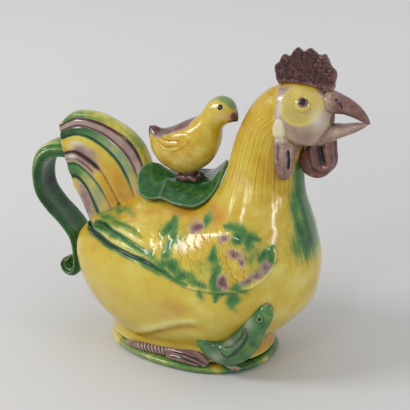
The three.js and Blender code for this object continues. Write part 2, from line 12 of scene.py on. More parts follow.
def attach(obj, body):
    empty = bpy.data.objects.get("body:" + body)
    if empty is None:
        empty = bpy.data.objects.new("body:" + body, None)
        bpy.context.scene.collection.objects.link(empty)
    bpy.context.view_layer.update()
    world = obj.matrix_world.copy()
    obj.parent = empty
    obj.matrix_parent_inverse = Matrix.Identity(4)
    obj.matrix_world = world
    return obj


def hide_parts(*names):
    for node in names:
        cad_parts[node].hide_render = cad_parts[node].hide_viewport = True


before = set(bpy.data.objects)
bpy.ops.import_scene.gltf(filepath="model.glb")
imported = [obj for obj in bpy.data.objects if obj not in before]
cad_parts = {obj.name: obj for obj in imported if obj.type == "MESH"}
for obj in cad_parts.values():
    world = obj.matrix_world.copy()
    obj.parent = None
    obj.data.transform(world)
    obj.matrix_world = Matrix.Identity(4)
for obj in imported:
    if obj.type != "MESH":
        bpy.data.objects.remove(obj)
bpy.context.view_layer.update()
scene = bpy.context.scene
MM = 0.001
TURN = 2 * math.pi


# Curves and masks, on arrays of points in millimetres

def smooth(low, high, x):
    t = np.clip((x - low) / (high - low), 0, 1)
    return t * t * (3 - 2 * t)


def spline(points, t):
    points = np.asarray(points, float)
    last = len(points) - 1
    at = np.clip(np.asarray(t, float), 0, 1) * last
    i = np.minimum(at.astype(int), last - 1)
    w = (at - i)[..., None]
    p0, p1 = points[np.maximum(i - 1, 0)], points[i]
    p2, p3 = points[np.minimum(i + 1, last)], points[np.minimum(i + 2, last)]
    a, b = (p2 - p0) / 2, (p3 - p1) / 2
    return (((2 * p1 - 2 * p2 + a + b) * w) + (3 * p2 - 3 * p1 - 2 * a - b)) * w * w + a * w + p1


def bell(distance, width):
    return np.exp(-((distance / width) ** 2))


def most(*masks):
    return np.maximum.reduce(masks)


def flat(p):
    """x and z, as seen from the side."""
    return p[:, [0, 2]]


def path_distance(p, path):
    """Distance from each point to a line of points, and how far along it the nearest place is."""
    best = np.full(len(p), 1e9)
    along = np.zeros(len(p))
    path = np.asarray(path, float)
    for k in range(len(path) - 1):
        a, b = path[k], path[k + 1]
        t = np.clip(((p - a) @ (b - a)) / ((b - a) @ (b - a)), 0, 1)
        d = np.linalg.norm(p - (a + t[:, None] * (b - a)), axis=1)
        near = d < best
        best[near] = d[near]
        along[near] = ((k + t) / (len(path) - 1))[near]
    return best, along


def stroke(p, path, width, ends=0.12):
    """A brush stroke with tapered ends."""
    d, t = path_distance(p, path)
    taper = 0.35 + 0.65 * smooth(0, ends, t) * smooth(0, ends, 1 - t)
    return bell(d, width * taper)


def beside(p, path, width):
    """A line along a path, without a taper."""
    return bell(path_distance(p, path)[0], width)


def inside(p, outline):
    """Signed distance to a closed outline, positive inside."""
    outline = np.asarray(outline, float)
    d, _ = path_distance(p, np.vstack([outline, outline[:1]]))
    within = np.zeros(len(p), bool)
    for a, b in zip(outline, np.roll(outline, -1, 0)):
        crosses = (a[1] > p[:, 1]) != (b[1] > p[:, 1])
        run = np.where(crosses, (b[0] - a[0]) * (p[:, 1] - a[1]) / ((b[1] - a[1]) or 1e-9) + a[0], 0)
        within ^= crosses & (p[:, 0] < run)
    return np.where(within, d, -d)


def dabs(p, spots):
    """Round brush dabs: each is x, z, half width and half height."""
    total = np.zeros(len(p))
    for x, z, w, h in spots:
        away = ((p[:, 0] - x) / w) ** 2 + ((p[:, 1] - z) / h) ** 2
        total = np.maximum(total, np.exp(-(away**0.9)))
    return total


def wander(q, reach):
    """The same points pushed about, so that what they paint has an uneven edge."""
    x, z = q.T
    sway = np.sin(0.5 * z + 1.4 * np.sin(0.31 * x)) + 0.3 * np.sin(1.3 * z - 0.7 * x)
    lift = np.sin(0.43 * x + 1.2 * np.sin(0.37 * z) + 2) + 0.3 * np.sin(1.1 * x + 0.9 * z + 4)
    return q + reach * np.stack([sway, lift], 1)


def scales(a, b, width, pitch):
    """Overlapping feather tips that point to +b: the distance inside each tip's edge."""
    radius = width * 0.56
    depth = np.full(len(a), -1.0)
    for back in (2, 1, 0, -1):
        row = np.floor(b / pitch) - back
        shift = np.where(row % 2 > 0, 0.5, 0.0)
        column = np.round(a / width - shift)
        off = a - (column + shift) * width
        tip = row * pitch + np.sqrt(np.maximum(radius**2 - off**2, 0))
        ours = (tip >= b) & (depth < 0) & (np.abs(off) <= radius)
        depth[ours] = (tip - b)[ours]
    return np.maximum(depth, 0)


def specks(q, pitch, radius, share):
    """Scattered round spots, 1 at the middle of each. The share is how many places have one."""
    total = np.zeros(len(q))
    base = np.floor(q / pitch)
    for i in (-1, 0, 1):
        for j in (-1, 0, 1):
            cell = base + (i, j)
            chance = np.modf(np.abs(np.sin(cell @ np.array([12.9898, 78.233])) * 43758.5))[0]
            other = np.modf(chance * 57.31)[0]
            spot = (cell + 0.5 + 0.75 * (np.stack([chance, other], 1) - 0.5)) * pitch
            size = radius * (0.6 + 0.7 * np.modf(chance * 91.7)[0])
            total = np.maximum(total, (other < share) * bell(np.linalg.norm(q - spot, axis=1), size))
    return total


def nearest(source, target):
    """For each target point, the index of the closest source point."""
    tree = KDTree(len(source))
    for k, p in enumerate(source):
        tree.insert(p, k)
    tree.balance()
    return np.array([tree.find(p)[1] for p in target])


# Meshes

def sheet(columns, rows, place):
    """A grid laid over a surface: place turns its two coordinates, 0 to 1, into millimetres."""
    bm = bmesh.new()
    bm.loops.layers.uv.new("skin")
    bmesh.ops.create_grid(bm, x_segments=columns, y_segments=rows, size=0.5, calc_uvs=True)
    uv = np.array([v.co[:2] for v in bm.verts]) + 0.5
    for vert, p in zip(bm.verts, place(uv[:, 0], uv[:, 1]) * MM):
        vert.co = p
    return bm, uv


def closed(bm):
    """Joins a grid's seams and poles."""
    bmesh.ops.remove_doubles(bm, verts=bm.verts, dist=2e-6)
    bmesh.ops.dissolve_degenerate(bm, edges=bm.edges, dist=1e-7)
    bmesh.ops.recalc_face_normals(bm, faces=bm.faces)
    return bm


def thing(name, bm):
    mesh = bpy.data.meshes.new(name)
    bm.to_mesh(mesh)
    bm.free()
    mesh.shade_smooth()
    obj = bpy.data.objects.new(name, mesh)
    scene.collection.objects.link(obj)
    return obj


def solid(name, columns, rows, place):
    return thing(name, closed(sheet(columns, rows, place)[0]))


def points(obj):
    co = np.empty(len(obj.data.vertices) * 3, np.float32)
    obj.data.vertices.foreach_get("co", co)
    return co.reshape(-1, 3).astype(float) / MM


def normals(obj):
    n = np.empty(len(obj.data.vertices) * 3, np.float32)
    obj.data.vertex_normals.foreach_get("vector", n)
    return n.reshape(-1, 3).astype(float)


def raise_by(obj, height):
    """Moves each vertex out along its normal by its height in millimetres."""
    moved = (points(obj) + normals(obj) * height[:, None]) * MM
    obj.data.vertices.foreach_set("co", moved.astype(np.float32).ravel())
    obj.data.update()


def modify(obj, kind, **settings):
    added = obj.modifiers.new(kind, kind)
    for key, value in settings.items():
        setattr(added, key, value)


def apply_modifiers(obj):
    graph = bpy.context.evaluated_depsgraph_get()
    made = bpy.data.meshes.new_from_object(obj.evaluated_get(graph))
    obj.modifiers.clear()
    old, obj.data = obj.data, made
    bpy.data.meshes.remove(old)


def neighbours_mean(obj):
    """Gives a function from the vertices' places to the mean places of their neighbours."""
    ends = np.empty(len(obj.data.edges) * 2, np.int32)
    obj.data.edges.foreach_get("vertices", ends)
    a, b = ends.reshape(-1, 2).T
    count = len(obj.data.vertices)
    degree = np.bincount(ends, minlength=count)[:, None].clip(1)

    def mean(co):
        sums = [np.bincount(a, co[b, k], count) + np.bincount(b, co[a, k], count) for k in range(3)]
        return np.stack(sums, 1) / degree

    return mean


def ease(obj, weight, rounds):
    """Smooths the places of the vertices where the weight is above 0."""
    co = points(obj)
    mean = neighbours_mean(obj)
    for _ in range(rounds):
        co += 0.5 * weight[:, None] * (mean(co) - co)
    obj.data.vertices.foreach_set("co", (co * MM).astype(np.float32).ravel())
    obj.data.update()


def ring(outline, v):
    """The places v, 0 to 1, on a smooth closed outline."""
    count = len(outline)
    return spline([*outline[-2:], *outline, *outline[:3]], (2 + v * count) / (count + 4))


def cushion(outline, y, half, middle):
    """A rounded flat drop with an outline in x and z."""

    def place(u, v):
        rim = ring(outline, v)
        r = np.sin(math.pi * u)
        p = np.array(middle) + (rim - middle) * r[:, None]
        thick = np.sign(np.cos(math.pi * u)) * (1 - r**4).clip(0) ** 0.5
        return np.stack([p[:, 0], y + half * thick, p[:, 1]], 1)

    return closed(sheet(60, 110, place)[0])


def carve(obj, tool, operation="DIFFERENCE"):
    modify(obj, "BOOLEAN", operation=operation, solver="MANIFOLD", object=tool)
    apply_modifiers(obj)
    bpy.data.objects.remove(tool)
    obj.data.shade_smooth()


def limbs(*paths):
    """Round limbs along rows of x, y, z, half width and half height."""
    whole = bmesh.new()
    for rows in paths:
        rows = np.array(rows, float)

        def place(u, v):
            u = (1 - np.cos(math.pi * u)) / 2
            at = spline(rows, u)
            before, after = np.maximum(u - 0.01, 0), np.minimum(u + 0.01, 1)
            ahead = spline(rows[:, :3], after) - spline(rows[:, :3], before)
            level = np.linalg.norm(ahead[:, [0, 2]], axis=1).clip(1e-6)[:, None]
            up = np.stack([-ahead[:, 2], 0 * u, ahead[:, 0]], 1) / level
            shut = np.sqrt(np.maximum(1 - (2 * u - 1) ** 12, 0))
            turn = TURN * v
            p = at[:, :3] + up * (at[:, 4] * shut * np.sin(turn))[:, None]
            p[:, 1] += at[:, 3] * shut * np.cos(turn)
            return p

        bm = closed(sheet(48, 28, place)[0])
        mesh = bpy.data.meshes.new("limb")
        bm.to_mesh(mesh)
        bm.free()
        whole.from_mesh(mesh)
        bpy.data.meshes.remove(mesh)
    return whole


def softened(name, source, voxel, rounds):
    """A fine, smooth skin over a list of CAD nodes or over a bmesh."""
    bm = source
    if isinstance(source, list):
        bm = bmesh.new()
        for node in source:
            bm.from_mesh(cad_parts[node].data)
        bmesh.ops.remove_doubles(bm, verts=bm.verts, dist=1e-6)
    obj = thing(name, bm)
    modify(obj, "REMESH", mode="VOXEL", voxel_size=voxel * MM)
    modify(obj, "SMOOTH", factor=0.5, iterations=rounds)
    apply_modifiers(obj)
    obj.data.shade_smooth()
    return obj


def hollows(obj, rounds=8, depth=0.16):
    """How far a vertex lies in a hollow, 1, or on a ridge, -1, for the glaze to gather there."""
    co = points(obj)
    mean = neighbours_mean(obj)
    eased = co.copy()
    for _ in range(rounds):
        eased = 0.5 * eased + 0.5 * mean(eased)
    inward = ((eased - co) * normals(obj)).sum(1)
    return np.clip((inward - np.median(inward)) / depth, -1, 1)


def paint(obj, **masks):
    """Writes where each glaze lies, and where light and shade are painted, as attributes, which the
    materials read.
    """
    masks = {"green": 0, "plum": 0, "amber": 0, "pale": 0, "dark": 0, "hollow": hollows(obj), **masks}
    for name, values in masks.items():
        layer = obj.data.attributes.new(name, "FLOAT", "POINT")
        spread = np.broadcast_to(np.clip(np.asarray(values, float), -1, 1), len(obj.data.vertices))
        layer.data.foreach_set("value", spread.astype(np.float32))


def settle(obj, body, slot, material, *nodes):
    """Gives a piece its glaze and its body, and hides the CAD nodes it stands in for."""
    obj.data.materials.clear()
    obj.data.materials.append(material)
    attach(obj, body)
    if nodes:
        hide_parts(*nodes)


# Glazes

class Term:
    """A socket that adds Math nodes when it is used in an expression."""

    def __init__(self, kit, socket):
        self.kit, self.socket = kit, socket

    def _math(self, operation, *values):
        return self.kit.node("ShaderNodeMath", {"operation": operation}, *values)

    def __add__(self, other):
        return self._math("ADD", self, other)

    def __sub__(self, other):
        return self._math("SUBTRACT", self, other)

    def __mul__(self, other):
        return self._math("MULTIPLY", self, other)


class Kit:
    """One material's node tree."""

    def __init__(self, name):
        self.material = bpy.data.materials.new(name)
        self.material.use_nodes = True
        self.tree = self.material.node_tree
        self.tree.nodes.clear()

    def make(self, kind, settings, *values, **named):
        made = self.tree.nodes.new(kind)
        for key, value in settings.items():
            setattr(made, key, value)
        pairs = [*enumerate(values), *((key.replace("_", " "), value) for key, value in named.items())]
        for key, value in pairs:
            self.fill(made.inputs[key], value)
        return made

    def fill(self, socket, value):
        if isinstance(value, Term):
            self.tree.links.new(value.socket, socket)
        else:
            socket.default_value = value

    def node(self, kind, settings, *values, out=0, **named):
        return Term(self, self.make(kind, settings, *values, **named).outputs[out])

    def ease(self, value, low, high):
        kind = {"interpolation_type": "SMOOTHSTEP"}
        return self.node("ShaderNodeMapRange", kind, Value=value, From_Min=low, From_Max=high)

    def blend(self, share, a, b):
        """Colour a where the share is 0, colour b where it is 1."""
        made = self.make("ShaderNodeMix", {"data_type": "RGBA"})
        for socket, value in ((0, share), (6, a), (7, b)):
            self.fill(made.inputs[socket], value)
        return Term(self, made.outputs[2])

    def ramp(self, value, stops):
        made = self.make("ShaderNodeValToRGB", {}, value)
        elements = made.color_ramp.elements
        while len(elements) < len(stops):
            elements.new(0.5)
        for stop, (place, shade) in zip(elements, stops):
            stop.position = place
            stop.color = shade
        return Term(self, made.outputs[0])

    def mask(self, name):
        return self.node("ShaderNodeAttribute", {"attribute_name": name}, out=2)

    def noise(self, where, scale, detail=3.0, rough=0.5):
        return self.node("ShaderNodeTexNoise", {}, Vector=where, Scale=scale, Detail=detail,
                         Roughness=rough)

    def finish(self, **inputs):
        """Ends the tree with one shader that has these inputs."""
        shader = self.make("ShaderNodeBsdfPrincipled", {}, **inputs)
        self.make("ShaderNodeOutputMaterial", {}, Term(self, shader.outputs[0]))


def colour(code):
    channels = [int(code[k : k + 2], 16) / 255 for k in (0, 2, 4)]
    return (*[((c + 0.055) / 1.055) ** 2.4 if c > 0.04 else c / 12.92 for c in channels], 1)


def ramp_stops(places, codes):
    return [(place, colour(code)) for place, code in zip(places, codes)]


# Each glaze from where it runs thin to where it gathers
YELLOW = ramp_stops((0, 0.3, 0.6, 1), ("ddd482", "cdb94a", "c3a01f", "946107"))
AMBER = ramp_stops((0, 0.5, 1), ("d9b25c", "bd7a1c", "70380c"))
GREEN = ramp_stops((0, 0.25, 0.5, 0.75, 1), ("a9a548", "7f9440", "47793c", "1c5224", "071f0e"))
PLUM = ramp_stops((0, 0.3, 0.55, 0.8, 1), ("c2b0a3", "a28a7f", "78534c", "48211f", "170606"))
SLIP_AND_PAINTED_HIGHLIGHT, BLACK = colour("dcd9cb"), colour("150a08")


def glaze(name, mottle, grain, comb=0.0, bump=0.25):
    """Lead glaze: it runs off ridges and gathers in hollows, and its colours bleed together."""
    kit = Kit(name)
    where = kit.node("ShaderNodeTexCoord", {}, out=3)
    broad = kit.noise(where, 42, 3)
    mottled = kit.noise(where, grain, 4, 0.6)
    fine = kit.noise(where, 900, 2)
    clouds = (mottled - 0.5) * (0.75 * mottle) + (broad - 0.5) * (0.7 * mottle)
    depth = kit.mask("hollow") * 0.42 + clouds + 0.42
    height = mottled * 0.5 + fine * 0.12
    if comb:
        skin = kit.node("ShaderNodeUVMap", {"uv_map": "skin"})
        lines = kit.node("ShaderNodeMapping", {}, Vector=skin, Scale=(9, 240, 1))
        streak = kit.noise(lines, 1.0, 3, 0.65)
        combed = kit.mask("combed")
        depth = depth + (streak - 0.42) * combed * comb
        height = height + streak * combed * (1.5 * comb)
    bleed = (mottled - 0.5) * 0.32 + (broad - 0.5) * 0.42 + (fine - 0.5) * 0.08
    pooled = kit.mask("hollow") * 0.22 + (mottled - 0.5) * 0.4 + (broad - 0.5) * 0.3
    warm = kit.ease(kit.mask("amber") + bleed, 0.0, 1.0)
    shade = kit.blend(warm, kit.ramp(depth, YELLOW), kit.ramp(depth, AMBER))
    coloured = (("green", 0.06, 0.55, 0.86, GREEN), ("plum", 0.08, 0.5, 0.84, PLUM))
    for metal, low, high, strength, stops in coloured:
        amount = kit.mask(metal) + bleed * kit.ease(kit.mask(metal), 0.0, 0.15)
        shade = kit.blend(kit.ease(amount, low, high), shade, kit.ramp(amount * strength + pooled, stops))
    # Pale: bare slip, and in places painted highlights.
    shade = kit.blend(kit.ease(kit.mask("pale") + bleed * 0.6, 0.05, 1.1), shade, SLIP_AND_PAINTED_HIGHLIGHT)
    # Dark: black glaze, and in places painted shade.
    shade = kit.blend(kit.ease(kit.mask("dark") + bleed * 0.4, 0.3, 0.7), shade, BLACK)
    relief = kit.node("ShaderNodeBump", {}, Strength=bump, Distance=0.0004, Height=height)
    kit.finish(Base_Color=shade, Normal=relief, Roughness=mottled * 0.1 + 0.1, Coat_Weight=0.12,
               Coat_Roughness=0.03, IOR=1.47)
    return kit.material


body_glaze = glaze("body_glaze", 0.8, 110, comb=0.9)
wing_glaze = glaze("wing_glaze", 0.9, 190)
tail_glaze = glaze("tail_glaze", 0.7, 170)
strap_glaze = glaze("strap_glaze", 0.6, 130)
comb_glaze = glaze("comb_glaze", 1.5, 420, bump=0.5)
small_glaze = glaze("small_glaze", 0.8, 260)
foot_glaze = glaze("foot_glaze", 0.9, 210)
leaf_glaze = glaze("leaf_glaze", 1.0, 180)
chick_glaze = glaze("chick_glaze", 1.1, 240)


# The body: one skin over the two moulded halves

SIDES = (("right", -1), ("left", 1))
WALL = 3.6
SLAB_TOP, FOOT_TOP = 4.3, 20
FOOT_LENGTH, FOOT_WIDTH, FOOT_FLARE = 84, 56, 8
FOOT_HOLLOW_TOP = 14
LID_X, LID_BORE, LID_BORE_FROM, LID_BORE_TO = -2, 9.6, 24.5, 89.5
THROAT_Z, THROAT_BORE, THROAT_FROM, THROAT_TO = 126.6, 3.2, 50, 76
# How far the rump and the breast reach, how wide the belly is, and how high the back
RUMP, BREAST, BELLY, BACK = 58.5, 65.5, 84.0, 81.0
# The x and z of the head's middle, its length, height and width
HEAD = (50.0, 128.0, 42.0, 28.0, 27.0)
SLIM = 0.985
RUMP_DROP, KEEL_LIFT = 9, 5
# Rows up the trunk and the head. Each says where the rear edge and the front edge are, as x and z, and
# how wide it is, all as shares of the sizes above
TRUNK = [
    (-0.97, 0.815, -0.97, 0.815, 0), (-0.89, 0.89, -1.02, 0.7, 0.27), (-0.77, 0.945, -1.03, 0.555, 0.46),
    (-0.625, 0.98, -0.97, 0.4, 0.65), (-0.45, 1.0, -0.81, 0.235, 0.815), (-0.27, 1.005, -0.55, 0.1, 0.93),
    (-0.08, 1.0, -0.21, 0.025, 0.995), (0.08, 1.01, 0.275, 0.03, 1.0), (0.18, 1.045, 0.64, 0.105, 0.975),
    (0.26, 1.11, 0.895, 0.31, 0.89), (0.305, 1.185, 0.99, 0.57, 0.76), (0.33, 1.27, 0.955, 0.815, 0.6),
]
CROWN = [
    (-0.5, -0.1, 0.17, -0.62, 1.04), (-0.42, 0.1, 0.38, -0.48, 1.0), (-0.29, 0.3, 0.49, -0.23, 0.92),
    (-0.14, 0.43, 0.5, 0.09, 0.77), (0.05, 0.5, 0.45, 0.34, 0.52), (0.29, 0.48, 0.29, 0.48, 0),
]


def hen_rows():
    """The rows of trunk, throat and head, in millimetres."""

    def reach(share):
        return share * (RUMP if share < 0 else BREAST)

    rows = [(reach(a), b * BACK, reach(c), d * BACK, w * BELLY / 2) for a, b, c, d, w in TRUNK]
    x, z, length, height, width = HEAD
    head = [(x + a * length, z + b * height, x + c * length, z + d * height, w * width / 2)
            for a, b, c, d, w in CROWN]
    rear_x, rear_z, front_x, front_z = [(low + high) / 2 for low, high in zip(rows[-1][:4], head[0][:4])]
    return [*rows, (rear_x - 1.25, rear_z, front_x - 2.5, front_z, 17.0), *head]


def loft(rows, inset=0.0):
    """A closed skin through rows of rear edge, front edge and half width."""
    rows = np.array(rows, float)

    def place(u, v):
        at = spline(rows, u)
        rear, front, half = at[:, 0:2], at[:, 2:4], at[:, 4]
        run = front - rear
        length = np.linalg.norm(run, axis=1)
        along = run / np.maximum(length, 1e-6)[:, None]
        turn = TURN * v
        reach = -np.maximum(length / 2 - inset, 0) * np.cos(turn)
        side = np.maximum(half - inset, 0) * np.sin(turn)
        middle = (rear + front) / 2 + along * reach[:, None]
        return np.stack([middle[:, 0], side, middle[:, 1]], 1)

    return place


def hen_skin(inset=0.0):
    """The loft, with its rump let down under the tail and its keel drawn up to the foot."""
    plain = loft(hen_rows(), inset)

    def place(u, v):
        p = plain(u, v)
        p[:, 1] *= SLIM
        x, z = p[:, 0], p[:, 2]
        rump = RUMP_DROP * smooth(-14, -44, x) * smooth(46, 72, z)
        keel = KEEL_LIFT * smooth(18, 40, x) * smooth(40, 18, z)
        p[:, 2] = z + keel - rump
        return p

    return place


hen = hen_skin()


def foot_wall(inset, bottom, top):
    """The oval wall from the slab up into the belly, shut below and above."""

    def place(u, v):
        level = np.clip(u * 1.2 - 0.1, 0, 1)
        shut = np.where((u < 0.09) | (u > 0.91), 0.0, 1.0)
        flare = FOOT_FLARE * level**2 - 2 * inset
        c, s = np.cos(TURN * v), np.sin(TURN * v)
        x = np.sign(c) * np.abs(c) ** (1 / 1.1)
        y = np.sign(s) * np.abs(s) ** (1 / 1.1)
        heel = 2.4 * (x < 0) * (1 - level) * (inset == 0)
        long = shut * (FOOT_LENGTH + flare + heel) / 2
        wide = shut * (FOOT_WIDTH + flare) / 2
        return np.stack([x * long, y * wide * (1 + 0.16 * x), bottom + (top - bottom) * level], 1)

    return place


def rod(radius, start, end):
    bm = bmesh.new()
    start, end = Vector(start), Vector(end)
    span = end - start
    turn = Vector((0, 0, 1)).rotation_difference(span).to_matrix()
    bmesh.ops.create_cone(bm, cap_ends=True, segments=48, radius1=radius * MM, radius2=radius * MM,
                          depth=span.length * MM)
    bmesh.ops.rotate(bm, verts=bm.verts, matrix=turn)
    bmesh.ops.translate(bm, verts=bm.verts, vec=(start + end) / 2 * MM)
    return thing("tool", bm)


# Where the glazes lie on the trunk, the face and the wings, seen from the side as x and z

FACE = [
    (45.6, 141), (46.4, 134), (47, 124), (49.6, 116), (53, 110.4), (57, 105.6), (64, 104.6), (76, 118),
    (76, 140), (66, 144),
]
THIGH = [(-19.6, 12), (-9.7, 17), (-2, 21.6), (5, 25.4), (11, 28), (17, 29.6)]
LONG_FEATHERS = [
    [(-54, 60.6), (-43.6, 60.4), (-33.9, 60.2), (-25, 59.6), (-17.5, 58.7), (-10.9, 57.8), (-4, 56.6),
     (3, 54.4)],
    [(-47, 62.8), (-39.2, 64.2), (-32.5, 64.7), (-24.1, 64.8), (-17.8, 63.8), (-11.7, 62.2),
     (-5.5, 60.2)],
    [(-44, 65.4), (-35, 67.4), (-24.3, 68.6), (-17.6, 68.7), (-11, 66.8)],
]
# Strength and half width of the green along each long feather
LONG_FEATHER_GREENS = [(1, 1.6), (0.7, 1.8), (0.5, 1.6)]
# Runs of green: strength, half width and path
GREEN_RUNS = [
    (0.8, 2, [(-12, 58), (-2, 55.4), (8, 52.4), (16, 50.6)]),
    (0.55, 2.4, [(-8, 61.4), (0, 59), (7, 56.4)]),
    (0.8, 1.5, [(52.4, 71), (53.2, 67), (52.8, 63), (50.6, 58)]),
    (0.6, 3.4, [(-2, 58), (6, 58.4), (14, 55.4), (23, 52.4)]),
    (0.6, 3.2, [(27, 70), (29.6, 62), (31, 54), (30, 44)]),
    (0.6, 3.2, [(0, 76), (4, 69), (4, 61)]),
    (0.6, 3.4, [(31, 79), (39, 77), (47, 73)]),
    (0.5, 2.8, [(53, 70), (51.4, 62), (45, 55), (38, 51.6)]),
    (0.4, 1.6, [(-50, 63.6), (-39, 69.4), (-30, 72.4), (-20, 73.4)]),
]
# Dabs of each glaze, by strength. A dab is x, z, half width and half height
GREEN_DABS = [
    (0.8, [(0.4, 71.7, 3.4, 3.4), (19.8, 78, 3, 3.6), (37.7, 75, 3.8, 4.2), (43.1, 73.4, 3, 5),
           (28.6, 65.2, 3.2, 4.2), (29.2, 57.5, 2.8, 7), (50.6, 66.2, 2.6, 4.4), (3.9, 62, 4, 3.2),
           (7.1, 57.7, 5.4, 3.4), (0.6, 56.7, 3.8, 2), (13.8, 54.6, 4.4, 2.6), (21.7, 51.8, 7, 2.6),
           (41.4, 51, 4.6, 1.8)]),
    (0.75, [(22.3, 46.2, 2.5, 3.6), (30.1, 47, 2, 2.8), (38.2, 44.6, 3, 5.4), (30, 48.6, 12, 1)]),
    (0.36, [(26, 58, 13, 7), (46, 66, 6, 7), (8, 68, 8, 6), (-14, 60, 16, 4)]),
]
PLUM_DABS = [
    (0.66, [(14.9, 74.5, 4, 2.4), (31.1, 73.1, 3.1, 2.4), (38.7, 67, 3.6, 2.8), (41.8, 63.6, 2, 2.4),
            (34.1, 54, 2.4, 3.6), (47.6, 57, 3.4, 2.6), (51, 60.2, 2.2, 3.6), (44.2, 55, 2.6, 1.6)]),
]
AMBER_DABS = [
    (0.75, [(-23, 73, 9, 2.6), (-34, 70, 6, 2.4), (-12, 75.4, 6, 2.4), (3, 77.6, 12, 3), (24, 82, 10, 5)]),
    (0.6, [(40, 11, 10, 6), (22, 8, 8, 4)]),
    (0.3, [(20, 68, 20, 8), (36, 88, 8, 12), (40, 58, 8, 6), (-47, 50, 7, 8), (12, 38, 16, 5),
           (54, 40, 9, 10), (46, 26, 10, 6), (-36, 20, 7, 9), (-8, 46, 12, 4)]),
]
BELLY_LIGHTS = [(0.22, [(-30, 36, 24, 16), (0, 32, 34, 12)])]
FACE_LIGHTS = [(0.5, [(48.5, 122, 3, 7), (49, 131, 1.6, 6), (67, 128, 3, 5)])]
ACROSS_WING, ALONG_WING = np.array([-0.5, 0.87]), np.array([-0.87, -0.5])
COVERT_WIDTH, COVERT_PITCH = 5.6, 4.3


def dabbed(q, groups):
    return most(*[strength * dabs(q, spots) for strength, spots in groups])


def eye_socket(p):
    """0 in the middle of the hen's eye, 1 on the rim of the ring round it."""
    return np.hypot((p[:, 0] - 58.9) / 9.3, (p[:, 2] - 134) / 8.7)


def coverts(q):
    """The wing's small feathers: the distance inside each tip, and where they lie."""
    x, z = q.T
    lies = smooth(-8, 2, x + 0.6 * (z - 60)) * smooth(52, 46, x) * smooth(83, 77, z)
    return scales(q @ ACROSS_WING, q @ ALONG_WING, COVERT_WIDTH, COVERT_PITCH), lies


def feather_edge(q):
    """1 on the line round each small feather of the wing."""
    depth, lies = coverts(q)
    return lies * smooth(48, 52, q[:, 1]) * bell(depth, 0.6)


def wing_green(exact):
    uneven, straight = wander(exact, 0.7), wander(exact, 0.2)
    feathers = [strength * stroke(straight, path, width)
                for (strength, width), path in zip(LONG_FEATHER_GREENS, LONG_FEATHERS)]
    runs = [strength * stroke(uneven, path, width) for strength, width, path in GREEN_RUNS]
    tips = 0.34 * feather_edge(exact) * smooth(30, 0, exact[:, 0] + 0.5 * (exact[:, 1] - 55))
    return most(*feathers, *runs, dabbed(uneven, GREEN_DABS), tips)


def breast_green(p):
    x, y, z = p.T
    half_breast = np.interp(z, [20, 45, 65, 90, 110], [40, 38, 31, 16, 10])
    streak = 0.5 + 0.5 * np.sin(1.7 * y + 0.08 * z + 1.5 * np.sin(0.13 * z))
    run = smooth(0.92, 0.28, np.abs(y) / half_breast) * smooth(38, 56, x)
    run *= smooth(44 + 7 * streak, 68, z) * smooth(116, 96, z)
    run *= 0.8 + 0.2 * streak * np.cos(0.9 * y + 0.11 * z)
    return 0.92 * run**1.3


def trunk_amber(p):
    exact = flat(p)
    uneven = wander(exact, 0.7)
    x, z = exact.T
    spots = dabbed(uneven, AMBER_DABS)
    foot_ring = 0.35 * smooth(2, 0, np.abs(uneven[:, 1] - 11)) * smooth(14, 0, uneven[:, 0])
    breast = 0.24 * smooth(22, 58, x) * smooth(90, 76, z)
    back = 0.2 * smooth(62, 74, z)
    # Painted shade: darker amber along the crease of the thigh's fold.
    thigh = 0.25 * stroke(uneven, THIGH, 3)
    return most(spots, 0.55 * feather_edge(exact), thigh, foot_ring, breast, back)


def trunk_paint(p):
    """Where each glaze lies on trunk, neck and wings, alike on both sides, with painted shade along the
    thigh's fold.
    """
    exact = flat(p)
    uneven = wander(exact, 0.7)
    x, y, z = p[:, 0], np.abs(p[:, 1]), p[:, 2]
    in_face = inside(exact, FACE)
    face = smooth(-1.6, 2.0, in_face) * smooth(3, 6, y + 3 * (x > 64))
    socket = smooth(1.14, 0.82, eye_socket(p)) * smooth(3, 6, y)
    face_pale = dabbed(exact, FACE_LIGHTS) * face + 0.26 * socket + 0.2 * face * (1 - socket)
    return {
        "green": most(most(wing_green(exact), breast_green(p)) * (1 - face), 0.2 * socket),
        "plum": most(dabbed(uneven, PLUM_DABS), 0.42 * face) * (1 - socket),
        "amber": trunk_amber(p),
        "pale": most(dabbed(uneven, BELLY_LIGHTS), face_pale),
        "combed": smooth(84, 98, z) * smooth(1.0, -2.0, in_face) * smooth(16, 26, x),
    }


def hen_relief(uv, p):
    """The combed neck, the scaly breast, and the raised face with its eye ring."""
    x, y, z = p.T
    around, turn = uv.T
    face = inside(flat(p), FACE)
    neck = smooth(82, 98, z) * smooth(134, 126, z) * smooth(0.5, -1.5, face)
    waver = turn + 0.004 * np.sin(21 * around) + 0.003 * np.sin(47 * around + 40 * turn)
    strands = np.sin(TURN * 41 * waver) + 0.8 * np.sin(TURN * 67 * waver + 3 * around)
    depth = scales(y, 0.25 * x - z, 7.6, 9.5)
    breast = smooth(54, 64, z) * smooth(104, 92, z) * smooth(34, 48, x)
    socket = eye_socket(p)
    spokes = 0.02 * np.cos(26 * np.arctan2(z - 135.6, x - 59.8))
    spokes *= smooth(0.45, 0.6, socket) * smooth(1, 0.85, socket)
    bowl = 0.15 * bell(socket - 1.02, 0.16) - 0.3 * smooth(1.05, 0.6, socket)
    height = 0.05 * neck * strands + breast * (0.18 * np.exp(-depth / 1.8) - 0.2 * bell(depth, 0.5))
    return height + smooth(2, 5, np.abs(y)) * (0.4 * smooth(-2, 1.5, face) + bowl + spokes)


def thigh_relief(obj):
    co = points(obj)
    from_fold, _ = path_distance(flat(co), THIGH)
    above = smooth(-2.5, 3.5, co[:, 2] - np.interp(co[:, 0], *zip(*THIGH)))
    faces_out = smooth(0.1, 0.4, normals(obj)[:, 1] * np.sign(co[:, 1]))
    low_side = smooth(18, 24, np.abs(co[:, 1])) * smooth(44, 36, co[:, 2])
    return faces_out * low_side * (1.3 * above - 0.5) * bell(from_fold, 5)


